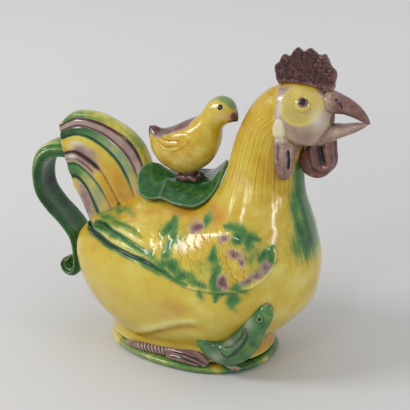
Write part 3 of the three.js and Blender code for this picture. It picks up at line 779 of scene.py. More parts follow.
def make_body():
    bm, uv = sheet(300, 240, hen)
    body = thing("hen_body", closed(bm))
    co = points(body)
    uv = uv[nearest(hen(uv[:, 0], uv[:, 1]), co)]
    raise_by(body, hen_relief(uv, co))
    carve(body, solid("tool", 45, 200, foot_wall(0, SLAB_TOP, FOOT_TOP)), "UNION")
    height = points(body)[:, 2]
    ease(body, smooth(SLAB_TOP + 0.3, 7, height) * smooth(24, 17, height), 40)
    carve(body, softened("tool", closed(sheet(90, 60, hen_skin(WALL))[0]), 1.6, 4))
    carve(body, rod(LID_BORE, (LID_X, 0, LID_BORE_FROM), (LID_X, 0, LID_BORE_TO)))
    carve(body, rod(THROAT_BORE, (THROAT_FROM, 0, THROAT_Z), (THROAT_TO, 0, THROAT_Z)))
    carve(body, solid("tool", 13, 60, foot_wall(WALL, SLAB_TOP + 0.3, FOOT_HOLLOW_TOP)))
    raise_by(body, thigh_relief(body))
    paint(body, **trunk_paint(points(body)))
    settle(body, "ewer", "glaze_yellow", body_glaze,
           "body_right_half", "body_left_half", "neck_right_half", "neck_left_half")


make_body()


# The wings: feather layers laid on the body's skin

WING = [
    (-56, 60), (-50, 58.8), (-44.8, 58.6), (-33.6, 57.9), (-24.5, 57.3), (-17.2, 56.2), (-10.6, 55),
    (-4.8, 53.8), (0, 52.6), (4.7, 51.4), (11.8, 49.2), (18.8, 48.2), (25.6, 47.8), (33.9, 48),
    (40.4, 49.2), (46, 51), (50.6, 54.2), (53.6, 58.6), (54.6, 63.2), (54.2, 67.2), (52.2, 71.2),
    (49.2, 75), (44, 79), (34, 82), (20, 80), (0, 77), (-25, 74), (-40, 69), (-50, 65),
]
WING_TOP = [(-56, 62), (-50, 65), (-40, 69), (-25, 74), (0, 77), (20, 80), (34, 82), (44, 79), (52, 76)]
LONG_FEATHER_DEPTHS = (0.8, 0.65, 0.45)
# How far round its skin a wing's patch goes, and the height below which its faces are left out
WING_TURN, SUNK = 0.47, -0.4


def wing_relief(q):
    x, z = q.T
    edge = inside(q, WING)
    stands = 1 - smooth(8, 1, np.interp(x, *zip(*WING_TOP)) - z)
    height = -0.7 + stands * (1.8 * smooth(-0.3, 0.8, edge) + 0.25 * bell(edge - 0.7, 0.5))
    for line, deep in zip(LONG_FEATHERS, LONG_FEATHER_DEPTHS):
        d, t = path_distance(q, line)
        height -= deep * bell(d, 0.75) * smooth(0, 0.06, t) * smooth(0, 0.25, 1 - t)
        height += 0.35 * bell(d - 2.4, 1.6) * smooth(0, 0.2, 1 - t)
    depth, lies = coverts(q)
    tips = 0.2 * np.exp(-depth / 1.4) - 0.36 * bell(depth, 0.42)
    return height + lies * smooth(0.5, 3, edge) * tips


def laid_wing(name, node, body, side, skin, start, length, grid, relief, painted, thickness, material):
    """A wing as a patch of the skin under it, raised by its feathers and closed behind."""

    def place(u, v):
        return skin(start + length * u, 0.5 - side * WING_TURN * v)

    bm, _ = sheet(*grid, place)
    bmesh.ops.recalc_face_normals(bm, faces=bm.faces)
    obj = thing(name, bm)
    if (normals(obj)[:, 1] * side).mean() < 0:
        obj.data.flip_normals()
    height = relief(flat(points(obj)))
    raise_by(obj, height)
    bm = bmesh.new()
    bm.from_mesh(obj.data)
    bm.verts.ensure_lookup_table()
    sunk = [f for f in bm.faces if all(height[v.index] < SUNK for v in f.verts)]
    bmesh.ops.delete(bm, geom=sunk, context="FACES")
    bmesh.ops.delete(bm, geom=[v for v in bm.verts if not v.link_faces], context="VERTS")
    bmesh.ops.solidify(bm, geom=bm.faces[:], thickness=thickness * MM)
    bmesh.ops.recalc_face_normals(bm, faces=bm.faces)
    bpy.data.objects.remove(obj)
    obj = thing(name, bm)
    paint(obj, **painted(points(obj)))
    settle(obj, body, "glaze_yellow", material, node)


for side, sign in SIDES:
    laid_wing(side + "_wing_feathers", side + "_wing", "ewer", sign, hen, 0.03, 0.66, (360, 190),
              wing_relief, trunk_paint, 1.2, wing_glaze)


# The tail fan: ribs between grooves that run from the rump to the tail's rear edge

# Each groove from the top down: the fan's half thickness there, and its line from root to tip
GROOVES = [
    (2, [(-17, 74), (-27, 101.3), (-46, 113.6), (-63.5, 114.3), (-73.3, 106.5)]),
    (3.6, [(-19, 72), (-28.5, 99), (-44, 109.3), (-61, 111.6), (-72.4, 105.6)]),
    (4.6, [(-22, 70), (-31, 92.5), (-43.5, 104), (-59, 108.2), (-71.4, 103.4)]),
    (5.6, [(-26, 68), (-35, 89.5), (-47, 100.5), (-60, 104.1), (-70.5, 100.2)]),
    (6.2, [(-38, 72), (-46.5, 85.5), (-54, 91.7), (-62, 94.8), (-68.4, 93)]),
    (6.2, [(-40, 64), (-47.5, 77.5), (-54.5, 84.7), (-61.5, 88.8), (-66.9, 87.8)]),
    (5.6, [(-45, 55), (-51, 67.5), (-55.5, 76.4), (-60.8, 81.5), (-65.1, 81.6)]),
    (4.4, [(-52, 50), (-56, 56), (-58.6, 62), (-60.6, 67.5), (-62.4, 72.5)]),
]
RIBS = len(GROOVES) - 1
RIB_RISE = 1.05


def rounded(x):
    """0 at an edge, rising to 1 like the side of a circle."""
    return np.sqrt(1 - (1 - np.clip(x, 0, 1)) ** 2)


def across_tail(v):
    """Ribs down from the top edge, down one face and up the other."""
    return np.clip(RIBS * (1 - np.abs(1 - 2 * v)), 0, RIBS)


def fan(u, v):
    lines = np.stack([spline(line, u) for _, line in GROOVES])
    half = np.array([h for h, _ in GROOVES], float)
    c = across_tail(v)
    k = np.minimum(c.astype(int), RIBS - 1)
    w = c - k
    at = np.arange(len(u))
    p = lines[k, at] * (1 - w)[:, None] + lines[k + 1, at] * w[:, None]
    rib = RIB_RISE * np.sqrt(np.maximum(1 - (2 * w - 1) ** 2, 0))
    thick = half[k] * (1 - w) + half[k + 1] * w + rib - 0.05
    for edge in (c / 0.4, (RIBS - c) / 0.4, (1 - u) / 0.03):
        thick = thick * rounded(edge)
    return np.stack([p[:, 0], np.where(v < 0.5, -1, 1) * thick, p[:, 1]], 1)


def tail_paint(t, c):
    """Glazes of the tail, and painted highlights on its ribs: t runs from root to tip, c counts the ribs
    from the top.
    """

    def band(low, high):
        return smooth(low - 0.12, low + 0.12, c) * smooth(high + 0.12, high - 0.12, c)

    def line(at, wide):
        return bell(c - at, wide)

    rear, corner, edge = smooth(0.4, 0.85, t), smooth(0.88, 0.96, t), smooth(0.975, 0.99, t)
    glazed = (1 - smooth(0.24, 0.1, t)) * (1 - edge)
    green = (0.3 + 0.3 * rear) * (1 - corner) * band(-1, 1)
    green += (0.4 + 0.5 * rear) * band(2, 3) + (0.3 + 0.35 * rear) * band(5, 6)
    green += 0.5 * rear * line(2.05, 0.2) + 0.95 * line(3, 0.1) + 0.95 * line(6, 0.12) + 0.55 * line(5, 0.1)
    green += 0.3 * smooth(0.7, 0.4, t) * band(6, 6.5)
    plum = 0.5 * band(1, 2) + 0.6 * corner * band(-1, 1) + 0.6 * line(2.0, 0.1)
    plum += 0.95 * smooth(0.1, 0.25, t) * line(1.02, 0.14) + 0.95 * smooth(0.2, 0.4, t) * line(4.03, 0.13)
    plum += 0.42 * smooth(0.25, 0.5, t) * band(4.1, 4.95) + 0.5 * smooth(0.3, 0.5, t) * line(4.55, 0.08)
    plum += 0.62 * line(3.7, 0.34) * bell(t - 0.62, 0.2) + 0.55 * band(6.1, 7.1) * bell(t - 0.52, 0.36)
    amber = 0.42 * smooth(0.5, 0.2, t) * smooth(1.5, 3.2, c) * smooth(6.4, 4.8, c)
    # Painted highlights: white glints on the fourth and fifth ribs towards the tip, and a pale line along
    # the crest of the second rib.
    painted_glints = line(3.4, 0.14) * bell(t - 0.76, 0.1) + line(4.4, 0.16) * bell(t - 0.8, 0.08)
    pale = 0.5 * painted_glints + 0.35 * rear * band(4.1, 4.9) + 0.3 * band(1.2, 1.8)
    pale += 0.3 * (1 - rear) * (band(2, 3) + band(5, 6))
    pale += 0.35 * line(3.6, 0.2) * smooth(0.45, 0.6, t) * smooth(0.98, 0.85, t)
    return {
        "green": green * glazed,
        "plum": plum * glazed,
        "amber": most(amber, 0.6 * band(3, 4) * smooth(0.8, 0.95, t)),
        "pale": most(0.7 * edge, pale),
    }


def grown_from(name, columns, rows, place):
    """A sheet closed into a solid, and where each vertex lies on the sheet."""
    bm, uv = sheet(columns, rows, place)
    bmesh.ops.holes_fill(bm, edges=[e for e in bm.edges if e.is_boundary], sides=0)
    obj = thing(name, closed(bm))
    return obj, uv[nearest(place(uv[:, 0], uv[:, 1]), points(obj))]


tail, uv = grown_from("tail_feathers", 120, 211, fan)
paint(tail, **tail_paint(uv[:, 0], across_tail(uv[:, 1])))
settle(tail, "ewer", "glaze_olive", tail_glaze, "tail_fan")


# The handle: a strap with three ribs outside and a hollow inside, closed in a scroll

STRAP_HALF_WIDTH, STRAP_THICK, STRAP_RIB = 9.3, 4.2, 1.15
SCROLL_X, SCROLL_Z, SCROLL_RADIUS = -66.8, 33.8, 3.7
SCROLL_TURN = np.radians([0, -60, -120, -180, -235])
STRAP = [
    (-64, 93.4), (-71.5, 94.4), (-78.4, 93.2), (-83, 88), (-85, 79.5), (-83.6, 70.4), (-77.6, 62.6),
    (-70.4, 56.2), (-65, 49.4), (-63.2, 41.5),
]
STRAP += [(SCROLL_X + SCROLL_RADIUS * c, SCROLL_Z + SCROLL_RADIUS * s)
          for c, s in zip(np.cos(SCROLL_TURN), np.sin(SCROLL_TURN))]


def strap(u, v):
    u = 0.02 + 0.98 * u
    middle = spline(STRAP, u)
    along = spline(STRAP, np.minimum(u + 0.002, 1)) - spline(STRAP, np.maximum(u - 0.002, 0))
    along /= np.linalg.norm(along, axis=1)[:, None]
    inward = np.stack([-along[:, 1], along[:, 0]], 1)
    thick = (STRAP_THICK + 4 * smooth(0.36, 0.08, u)) * (1 - 0.25 * np.clip((u - 0.8) * 5, 0, 1))
    across = -np.cos(TURN * v)
    shut = np.sqrt(1 - np.abs(across) ** 5)
    rib = STRAP_RIB * np.abs(np.cos(1.5 * math.pi * across)) ** 0.7
    outer = (-thick / 2 + 1.35 - rib) * shut
    inner = (thick / 2 + 1.5 * smooth(1.0, 0.75, u) - 1.4 * (1 - across**2)) * shut
    end = rounded((1 - u) / 0.02)
    out = np.where(v < 0.5, outer, inner) * end
    edge_rib = 1 + 0.05 * np.cos(18 * math.pi * v) * smooth(0.5, 1, np.abs(across))
    y = (STRAP_HALF_WIDTH - 4.6 * smooth(0.2, 0.03, u)) * across * edge_rib * end
    p = middle + inward * out[:, None]
    return np.stack([p[:, 0], y, p[:, 1]], 1)


handle, uv = grown_from("ribbed_handle", 220, 97, strap)
is_inner = uv[:, 1] > 0.5
ridge = smooth(0.0, -0.5, hollows(handle))
paint(handle, green=np.where(is_inner, 0.84, 0.64 - 0.2 * ridge),
      pale=np.where(is_inner, 0.0, 0.34 * ridge + 0.08))
settle(handle, "ewer", "glaze_green", strap_glaze, "handle")


def dressed(name, source, voxel, rounds, slot, material, *nodes, body="ewer", relief=None, **masks):
    """A softened piece. Its relief and masks are functions of its points, or numbers."""
    obj = softened(name, source, voxel, rounds)
    if relief:
        raise_by(obj, relief(points(obj)))
    p = points(obj)
    paint(obj, **{key: value(p) if callable(value) else value for key, value in masks.items()})
    settle(obj, body, slot, material, *(nodes or source))


# The comb

COMB_FOOT = np.array((57, 131))
COMB_VALLEYS = [(44.2, 150.6), (49.4, 153.8), (56, 156.6), (63.4, 155.8), (69.3, 151.4)]


def comb_relief(p):
    """Pits, valleys between the points, and a raised line along the foot."""
    q = flat(p)
    x, z = q.T
    height = 0.35 * bell(z - 142.5 + 0.05 * (x - 57), 1.2) - 0.45 * specks(q, 2.3, 0.5, 0.75)
    for valley in COMB_VALLEYS:
        to_foot = COMB_FOOT - valley
        height -= 0.5 * stroke(q, [valley - to_foot * 0.05, valley + to_foot * 0.14], 0.8)
    return height * smooth(1.0, 1.8, np.abs(p[:, 1]))


def comb_pits(p):
    return (0.4 + 0.4 * smooth(148, 153, p[:, 2])) * specks(flat(p), 2.3, 0.5, 0.6)


# The pale specks on the comb are painted highlights: small glints.
dressed("comb_fan", ["comb"], 0.35, 34, "glaze_aubergine", comb_glaze, relief=comb_relief,
        plum=lambda p: 0.9 - 0.25 * bell(p[:, 2] - 141, 1.6), dark=comb_pits,
        pale=lambda p: 0.3 * specks(flat(p) + 31, 3.1, 0.35, 0.4))


# The beak. Each row of a limb is x, y, z, half width and half height

NOSTRIL = [(73.2, 137.6), (75.6, 136.2), (77.0, 133.6)]
UPPER_BEAK = [
    (66.4, 0, 135.4, 5.4, 4.8), (69.4, 0, 135, 6.3, 5.2), (73, 0, 134.3, 6.2, 4.8),
    (77, 0, 133.6, 5.1, 4), (81.5, 0, 131.8, 3.8, 3.2), (85.4, 0, 129.3, 2.4, 2.2),
    (88.8, 0, 126.2, 0.9, 0.8),
]
LOWER_BEAK = [
    (63, 0, 115.4, 6.6, 3.4), (67, 0, 118, 6.8, 4.1), (72, 0, 120.8, 5.8, 3.9), (76.5, 0, 122.2, 4.6, 3),
    (80.5, 0, 123.6, 3.6, 2.5), (84, 0, 124.9, 2.4, 1.8), (87.8, 0, 126.1, 0.8, 0.7),
]


def nostril(p, width):
    return stroke(flat(p), NOSTRIL, width) * smooth(1.5, 3, np.abs(p[:, 1]))


dressed("upper_beak_horn", limbs(UPPER_BEAK), 0.3, 8, "glaze_aubergine", small_glaze,
        "upper_beak", relief=lambda p: -0.6 * nostril(p, 0.7), dark=lambda p: 0.8 * nostril(p, 0.6),
        plum=lambda p: 0.42 + 0.3 * smooth(70, 76, p[:, 0]))
dressed("lower_beak_horn", limbs(LOWER_BEAK), 0.3, 8, "glaze_grey_aubergine", small_glaze,
        "lower_beak", plum=0.46, pale=lambda p: 0.1 + 0.14 * smooth(70, 78, p[:, 0]))


# The wattles, ear drops, eyes and feet, the same on both sides

WATTLE = [
    (56.4, 108.1), (56.1, 103.7), (59.2, 99.6), (64.6, 98.1), (69.4, 99.8), (72.8, 104.6), (72.8, 111),
    (71.4, 118.4), (65.2, 117), (59.8, 112.4),
]
WATTLE_HOLLOW = [(66.2, 117), (66.4, 112.4), (67.8, 107.4)]
LOBE = [
    (46.8, 123.5), (48.6, 127.2), (51.4, 127), (52.8, 123.2), (53.6, 118.6), (56.8, 115.4), (57.8, 108.4),
    (56.4, 102), (53.6, 98.7), (50.4, 99), (48.4, 104), (47.8, 111), (47.2, 118),
]
LOBE_SLIT = [(55.2, 114), (55.6, 109), (55.4, 104.6)]
LOBE_FOLD = [(50.6, 116), (50.2, 112), (50.4, 108)]
EYE = np.array([59.8, 9.7, 135.6])
EYE_OUT = np.array([0.25, 0.8, 0.54]) / np.linalg.norm([0.25, 0.8, 0.54])
SHANK = [
    (-27, 22.6, 4.8, 0.8, 0.8), (-22, 24.4, 5.5, 1.8, 1.6), (-14, 26.1, 6.2, 2.2, 2.1),
    (-5, 27.1, 6.8, 2.3, 2.3), (3, 27.7, 7.6, 2.5, 2.6), (8, 28, 8.2, 2.4, 2.6),
]
TOES = [
    [(1, 26.4, 8.2, 1.7, 1.9), (9, 27.3, 10, 1.8, 2.2), (16, 28.2, 8.8, 1.6, 1.9),
     (22, 29, 5.4, 1.1, 1.2)],
    [(0, 28.2, 7, 1.6, 1.8), (8, 29.3, 8, 1.8, 2), (15, 30.1, 6.6, 1.5, 1.7), (21.4, 30.4, 4.9, 1, 1.1)],
    [(-1, 29, 5.4, 1.4, 1.5), (7, 30.2, 5.8, 1.6, 1.6), (13, 30.8, 5.3, 1.4, 1.4),
     (18, 30.9, 4.9, 0.8, 0.9)],
]
TOE_GAPS = [[(3, 8.6), (10, 8.9), (16, 7.6), (21, 5.6)], [(2, 6.2), (9, 6.9), (15, 6.1), (19, 5.2)]]
SHANK_RING = 2.1


def wattle_relief(p):
    d, _ = path_distance(flat(p), WATTLE_HOLLOW)
    return 0.5 * bell(d - 3.8, 1.1) - 2.4 * bell(d, 2.3) * smooth(0.5, 2.5, np.abs(p[:, 1]))


def lobe_relief(p):
    """The waist, the slit and the fold, and the ridge between them."""
    q = flat(p)
    cuts = 0.8 * stroke(q, [(46, 118), (54, 119.4)], 1.2)
    cuts += 1.2 * stroke(q, LOBE_SLIT, 0.9) + 0.7 * stroke(q, LOBE_FOLD, 0.8)
    ridge = 0.5 * stroke(q, [(52.8, 115), (52.8, 102)], 1.2)
    return smooth(0, 2, np.abs(p[:, 1]) - 11.5) * (ridge - cuts)


# Painted shade in the ear drop's slit.
def lobe_slit_shade(p):
    return 0.9 * stroke(flat(p), LOBE_SLIT, 0.7) * smooth(11.5, 13, np.abs(p[:, 1]))


def from_eye_middle(p):
    """Distance from the line that the eye looks along."""
    away = np.stack([p[:, 0], np.abs(p[:, 1]), p[:, 2]], 1) - EYE
    return np.linalg.norm(away - (away @ EYE_OUT)[:, None] * EYE_OUT, axis=1)


def on_shank(p):
    return smooth(-19, -16, p[:, 0]) * smooth(1, -2, p[:, 0])


def shank_ring(p):
    """1 on a ring of the scaly shank, -1 between two."""
    return np.cos(TURN * (p[:, 0] + 0.4 * (p[:, 2] - 6)) / SHANK_RING)


# Dark lines between the shank's rings, and painted shade in the gaps between the toes.
def foot_dark(p):
    gaps = most(*[stroke(flat(p), gap, 0.55) for gap in TOE_GAPS])
    return most(0.75 * on_shank(p) * smooth(-0.4, -0.8, shank_ring(p)), 0.8 * gaps)


for side, sign in SIDES:
    shank, *toes = [[(x, sign * y, *rest) for x, y, *rest in rows] for rows in (SHANK, *TOES)]
    # The black along the wattle's hollow is painted shade.
    dressed(side + "_wattle_drop", cushion(WATTLE, sign * 2.3, 3.4, (65, 107)), 0.3, 8,
            "glaze_aubergine", small_glaze, side + "_wattle", relief=wattle_relief,
            plum=lambda p: 0.84 - 0.25 * smooth(104, 99, p[:, 2]),
            dark=lambda p: 0.9 * beside(flat(p), WATTLE_HOLLOW, 1.9))
    dressed(side + "_ear_drop", cushion(LOBE, sign * 13, 2.6, (52, 110)), 0.3, 6,
            "glaze_grey_aubergine", small_glaze, side + "_ear_lobe", relief=lobe_relief,
            plum=lambda p: 0.16 + 0.38 * smooth(121, 117, p[:, 2]),
            pale=lambda p: 0.16 + 0.5 * smooth(116, 120, p[:, 2]), dark=lobe_slit_shade)
    dressed(side + "_eye_bead", [side + "_eye"], 0.2, 10, "glaze_black", small_glaze,
            dark=lambda p: smooth(1.75, 1.35, from_eye_middle(p)), pale=0.25, green=0.1,
            plum=lambda p: 0.75 * smooth(2.9, 2.3, from_eye_middle(p)))
    dressed(side + "_scaly_foot", limbs(shank, *toes), 0.3, 4,
            "glaze_grey_aubergine", foot_glaze, side + "_foot",
            relief=lambda p: 0.25 * on_shank(p) * shank_ring(p), plum=0.55, pale=0.14, dark=foot_dark)


# The chick in relief, the slab and the collar

RELIEF_EYE_X, RELIEF_EYE_Z = 50.4, 36.6
RELIEF_CHICK = [
    (16.4, -32, 21.4, 1, 0.9), (20, -30.8, 17.8, 3, 3.6), (25, -29, 14, 4.6, 5.6),
    (31, -28.4, 13.2, 5.4, 6.4), (37.4, -28.4, 16.8, 5.6, 7), (43, -29, 24, 5.8, 6.8),
    (46.8, -29.8, 30.8, 5.6, 5.6), (50.2, -29.8, 36.4, 4.6, 4.9), (52.6, -29.8, 40.2, 3.4, 3.6),
    (55.6, -29.8, 41.4, 1, 0.9),
]
RELIEF_LEG = [(31, -29, 9, 1.6, 2.4), (34.4, -28.4, 6, 1.7, 1.6), (37.6, -27.2, 5, 1.2, 0.9)]
RELIEF_WING = [
    [(29, 15.6), (33.5, 13), (38, 16), (42.4, 21.6), (44.6, 27), (43.6, 31)],
    [(31.5, 17.6), (36.5, 19.6), (41, 25.4), (43.6, 31)],
    [(35.6, 14.8), (40.4, 19.6), (43.2, 24)],
]
# Painted highlights on the chick in relief: x, z, half width and half height.
RELIEF_PAINTED_HIGHLIGHTS = [(33, 21, 5, 3), (44, 34, 4, 4), (28, 12, 4, 3)]
SLAB_AMBER = [(25, -27, 4, 3), (44, -8, 3, 5)]


def relief_wing(p):
    return most(*[stroke(flat(p), line, 0.7) for line in RELIEF_WING])


def relief_eye(p):
    return np.hypot(p[:, 0] - RELIEF_EYE_X, p[:, 2] - RELIEF_EYE_Z)


def relief_form(p):
    lines = 0.35 * bell(relief_eye(p) - 1.3, 0.5) - 0.5 * relief_wing(p)
    return lines * smooth(-29.5, -32, p[:, 1])


def relief_green(p):
    cloud = 0.06 * np.sin(0.5 * p[:, 0] + 0.4 * p[:, 2])
    return (0.66 + 0.3 * relief_wing(p) + cloud) * smooth(5, 8, p[:, 2])


# The chick in relief: its pale dabs are painted highlights.
dressed("chick_in_relief", limbs(RELIEF_CHICK, RELIEF_LEG), 0.35, 8,
        "glaze_pale_green", small_glaze, "relief_chick", relief=relief_form, green=relief_green,
        plum=lambda p: most(0.6 * smooth(8, 5, p[:, 2]), 0.9 * dabs(flat(p), [(51.6, 43.6, 1.4, 1)])),
        pale=lambda p: 0.12 + 0.3 * dabs(flat(p), RELIEF_PAINTED_HIGHLIGHTS),
        dark=lambda p: most(smooth(0.9, 0.5, relief_eye(p)), 0.6 * bell(relief_eye(p) - 1.9, 0.35)))


def slab_green(p):
    rear_edge = smooth(-37, -33, p[:, 0] + 0.12 * p[:, 1])
    return (0.55 + 0.25 * smooth(10, 40, p[:, 0])) * rear_edge * (1 - 0.9 * dabs(p[:, :2], SLAB_AMBER))


dressed("foot_slab_rim", ["foot_slab"], 0.5, 6, "glaze_green", leaf_glaze,
        green=slab_green, amber=0.5, pale=lambda p: 0.25 * smooth(10, -20, p[:, 0]))
dressed("mouth_collar_ring", ["mouth_collar"], 0.5, 3, "glaze_yellow", wing_glaze, pale=0.3)


# The lid: a leaf with a curled rim, its flange and its perch

LEAF_RIM = [
    (16.8, 3, 98.8), (17.9, -3, 96.8), (18.2, -8, 93.6), (17.6, -13, 89), (15.2, -17, 85),
    (12.6, -18.8, 82.9), (9, -20, 81.4), (3.3, -20, 81.2), (-2.7, -18.6, 81.2), (-8.5, -16.6, 81.7),
    (-12, -17, 81.4), (-15.7, -18, 80.9), (-20.7, -17, 82.5), (-23.4, -14, 86.3), (-24.3, -10, 90.4),
    (-23.4, -6, 93.2), (-20.9, -3, 94.2), (-18.3, 1, 92.6), (-15, 4, 89.4), (-13, 9, 88.2),
    (-7.4, 13.6, 88), (-0.9, 14.8, 88.4), (4.6, 13.6, 89.4), (8.8, 11.2, 92), (12.6, 8, 95.6),
]
LEAF_TOP = 87.2
LEAF_THICK = 1.7
LEAF_FOLD = [(-10, -17), (-10.4, -10), (-11.6, -4)]
CLAWS = [[(-4, side * 1.5, 88.8, 2, 2), (0.5, side * 3.6, 89.2, 1.6, 1.6), (4, side * 4.8, 88.4, 1, 1)]
         for side in (-1, 1)]
MOUND = [
    [(-8.5, 0, 88, 3, 1.6), (-2.4, 0, 88.8, 5.6, 3), (3.6, 0, 88, 3, 1.6)],
    [(-2, 0, 88, 4.6, 4.6), (-1.6, 0, 93, 4.2, 4.2)],
]


def leaf_sheet(u, v):
    """The leaf from its middle, u = 0, out to its rim."""
    rim = ring(LEAF_RIM, v)
    r = np.maximum(u, 1e-4)
    rise = smooth(0.3, 1.35, r) / smooth(0.3, 1.35, 1.0)
    x = LID_X + (rim[:, 0] - LID_X) * r
    y = rim[:, 1] * r
    fold = 0.9 * beside(np.stack([x, y], 1), LEAF_FOLD, 1.6) * smooth(0.2, 0.9, r) * smooth(1, 0.9, r)
    return np.stack([x, y, LEAF_TOP + (rim[:, 2] - LEAF_TOP) * rise + fold], 1)


def leaf_solid():
    bm, _ = sheet(90, 200, leaf_sheet)
    bmesh.ops.remove_doubles(bm, verts=bm.verts, dist=1e-6)
    bmesh.ops.recalc_face_normals(bm, faces=bm.faces)
    if sum(f.normal.z for f in bm.faces) < 0:
        bmesh.ops.reverse_faces(bm, faces=bm.faces)
    bmesh.ops.solidify(bm, geom=bm.faces[:], thickness=LEAF_THICK * MM)
    return bm


def leaf_ripple(p):
    x, y = p[:, 0] - LID_X, p[:, 1]
    return 0.04 * np.sin(1.7 * np.hypot(x, y) + 6 * np.arctan2(y, x))


def leaf_pale(p):
    return 0.24 * beside(p[:, :2], LEAF_FOLD, 0.7) + 0.3 * beside(p, LEAF_RIM + LEAF_RIM[:1], 0.7)


dressed("leaf", leaf_solid(), 0.35, 6, "glaze_green", leaf_glaze, "lid_leaf", body="lid",
        relief=leaf_ripple, green=0.78, pale=leaf_pale)
dressed("lid_flange_ring", ["lid_flange"], 0.4, 3, "glaze_yellow", wing_glaze, body="lid",
        relief=lambda p: 0.9 * smooth(84, 84.4, p[:, 2]), pale=0.4)
dressed("perch", limbs(*MOUND, *CLAWS), 0.35, 4, "glaze_aubergine", foot_glaze, "perch_mound",
        body="lid", plum=0.8)


# The chick on the lid, lofted like the hen. Each row is the rear edge's x and z, the front edge's x and z,
# and the half width

CHICK = [
    (-23.4, 111.4, -23.4, 111.4, 0), (-20.6, 112, -23.3, 108, 2.4), (-16.7, 111, -22.3, 104.4, 4.4),
    (-11, 112.8, -20.1, 98.8, 8.2), (-4.8, 116.2, -13.6, 92.8, 10.6), (1, 119, -2.5, 90.4, 11.5),
    (4.5, 121.4, 8.6, 96.6, 10.6), (6.4, 124, 13.6, 105.4, 8.6), (7.9, 126.6, 15, 113.8, 7),
    (10.2, 129, 17.2, 117, 6.8), (14.8, 131, 20.6, 118.8, 6.2), (19.4, 130, 22.6, 119.4, 4.6),
    (21.9, 126.4, 23.4, 119.6, 2.6), (24, 120.6, 24, 120.6, 0),
]
CHICK_WING = [
    (-18.4, 109.4), (-15, 105.6), (-11, 103.2), (-6.4, 102.6), (-1.4, 104.4), (3, 108), (4.6, 112),
    (2.6, 114.6), (-2, 114.4), (-8, 112.6), (-14, 110.6),
]
CHICK_WING_LINES = [[(-16, 107.8), (-9, 105.6), (-3, 107)], [(-15, 109.4), (-8, 108.4), (-2, 109.6)]]
CHICK_STRIPE = [(-24, 111.5), (-16, 111), (-10, 113), (-4, 116.4), (2, 119.6)]
CHICK_LIGHTS = [(15, 127.6, 5, 1.8), (18, 122.6, 4, 3)]
CHICK_EYE_X, CHICK_EYE_Z = 17, 127.2
chick_skin = loft(CHICK)


def chick_eye(p):
    return np.hypot(p[:, 0] - CHICK_EYE_X, p[:, 2] - CHICK_EYE_Z)


def chick_paint(p):
    q = flat(p)
    x, y, z = p[:, 0], np.abs(p[:, 1]), p[:, 2]
    cap = smooth(-0.8, 1.6, z - 129.2 + 0.075 * (x - 14.5) ** 2) * smooth(4, 8, x)
    beak = smooth(20.6, 22.6, x) * smooth(126, 123, z)
    stripe = stroke(q, CHICK_STRIPE, 3.2) * smooth(9.5, 6.5, y)
    pupil = smooth(1.5, 1.0, chick_eye(p)) * smooth(3, 4, y)
    gape = 0.7 * stroke(q, [(20, 119.9), (23.6, 120.6)], 0.5)
    return {
        "green": 0.5 * cap,
        "plum": 0.75 * most(beak, stripe),
        "amber": 0.3 * smooth(112, 98, z) + 0.2,
        "pale": most(0.4 * dabs(q, CHICK_LIGHTS), 0.25 * cap),
        "dark": most(0.8 * smooth(-20.6, -22.6, x), pupil, gape),
    }


def chick_wing_relief(q):
    height = -0.5 + 1.2 * smooth(-0.2, 1.8, inside(q, CHICK_WING))
    for line in CHICK_WING_LINES:
        height -= 0.35 * stroke(q, line, 0.6)
    return height


def make_chick():
    chick = solid("lid_chick", 150, 130, chick_skin)
    p = points(chick)
    gape = stroke(flat(p), [(19.6, 119.8), (24, 120.6)], 0.5)
    raise_by(chick, 0.35 * np.exp(-((chick_eye(p) / 1.5) ** 4)) - 0.35 * gape)
    paint(chick, **chick_paint(points(chick)))
    settle(chick, "lid", "glaze_yellow", chick_glaze, "finial_chick")


make_chick()
for side, sign in SIDES:
    laid_wing(side + "_chick_feathers", "chick_%s_wing" % side, "lid", sign, chick_skin, 0.05, 0.62,
              (150, 90), chick_wing_relief, chick_paint, 1.0, chick_glaze)


# Floor, light and camera

CAMERA_AZIMUTH, CAMERA_HEIGHT, CAMERA_DISTANCE = math.radians(25), math.radians(20), 0.7
CAMERA_AIM, LAMP_AIM = (0.0065, 0, 0.075), (0, 0, 0.06)


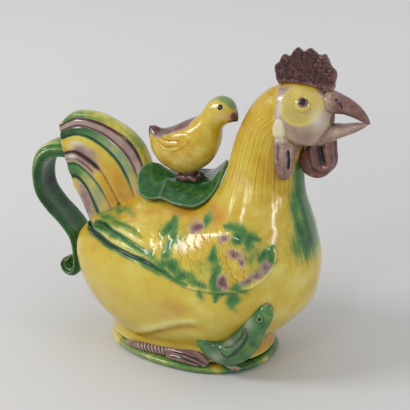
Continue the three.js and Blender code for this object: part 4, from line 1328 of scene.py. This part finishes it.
def make_floor():
    """Plain paper with painted light: a little lighter far off and on the left."""
    bm = bmesh.new()
    bmesh.ops.create_grid(bm, x_segments=1, y_segments=1, size=3)
    floor = thing("floor", bm)
    kit = Kit("paper_floor")
    where = kit.node("ShaderNodeTexCoord", {}, out=3)
    far, left = [kit.node("ShaderNodeVectorMath", {"operation": "DOT_PRODUCT"}, where, way, out=1)
                 for way in ((-0.4226, 0.9063, 0), (-0.9063, -0.4226, 0))]
    paper = kit.blend(kit.ease(far, 0.0, 0.7), colour("d2d1d1"), colour("e6e5e5"))
    paper = kit.blend(kit.ease(left, -0.05, 0.2) * 0.25, paper, colour("eae9e8"))
    kit.finish(Base_Color=paper, Roughness=0.85)
    floor.data.materials.append(kit.material)


def placed(name, data, place, looks):
    """A lamp or camera in its place, turned the way it looks."""
    obj = bpy.data.objects.new(name, data)
    scene.collection.objects.link(obj)
    obj.location = place
    obj.rotation_mode = "QUATERNION"
    obj.rotation_quaternion = looks.to_track_quat("-Z", "Y")
    return obj


def lamp(name, place, size, power):
    data = bpy.data.lights.new(name, "AREA")
    data.shape = "RECTANGLE"
    data.size, data.size_y = size
    data.energy = power
    placed(name, data, place, Vector(LAMP_AIM) - Vector(place))


make_floor()
world = bpy.data.worlds.new("studio")
scene.world = world
world.use_nodes = True
background = world.node_tree.nodes["Background"]
background.inputs["Color"].default_value = (1, 1, 1, 1)
background.inputs["Strength"].default_value = 0.65
lamp("window", (-0.82, -0.62, 0.86), (0.5, 0.3), 6.5)
lamp("side_panel", (1.1, -0.3, 0.43), (0.07, 0.4), 1.6)
lamp("small_window", (0.12, -1.0, 0.86), (0.14, 0.14), 1.2)

lens = bpy.data.cameras.new("camera")
lens.sensor_width = 36
lens.lens = 126.2
level = math.cos(CAMERA_HEIGHT)
away = Vector((level * math.sin(CAMERA_AZIMUTH), -level * math.cos(CAMERA_AZIMUTH),
               math.sin(CAMERA_HEIGHT)))
scene.camera = placed("camera", lens, Vector(CAMERA_AIM) + away * CAMERA_DISTANCE, -away)
scene.view_settings.view_transform = "Standard"
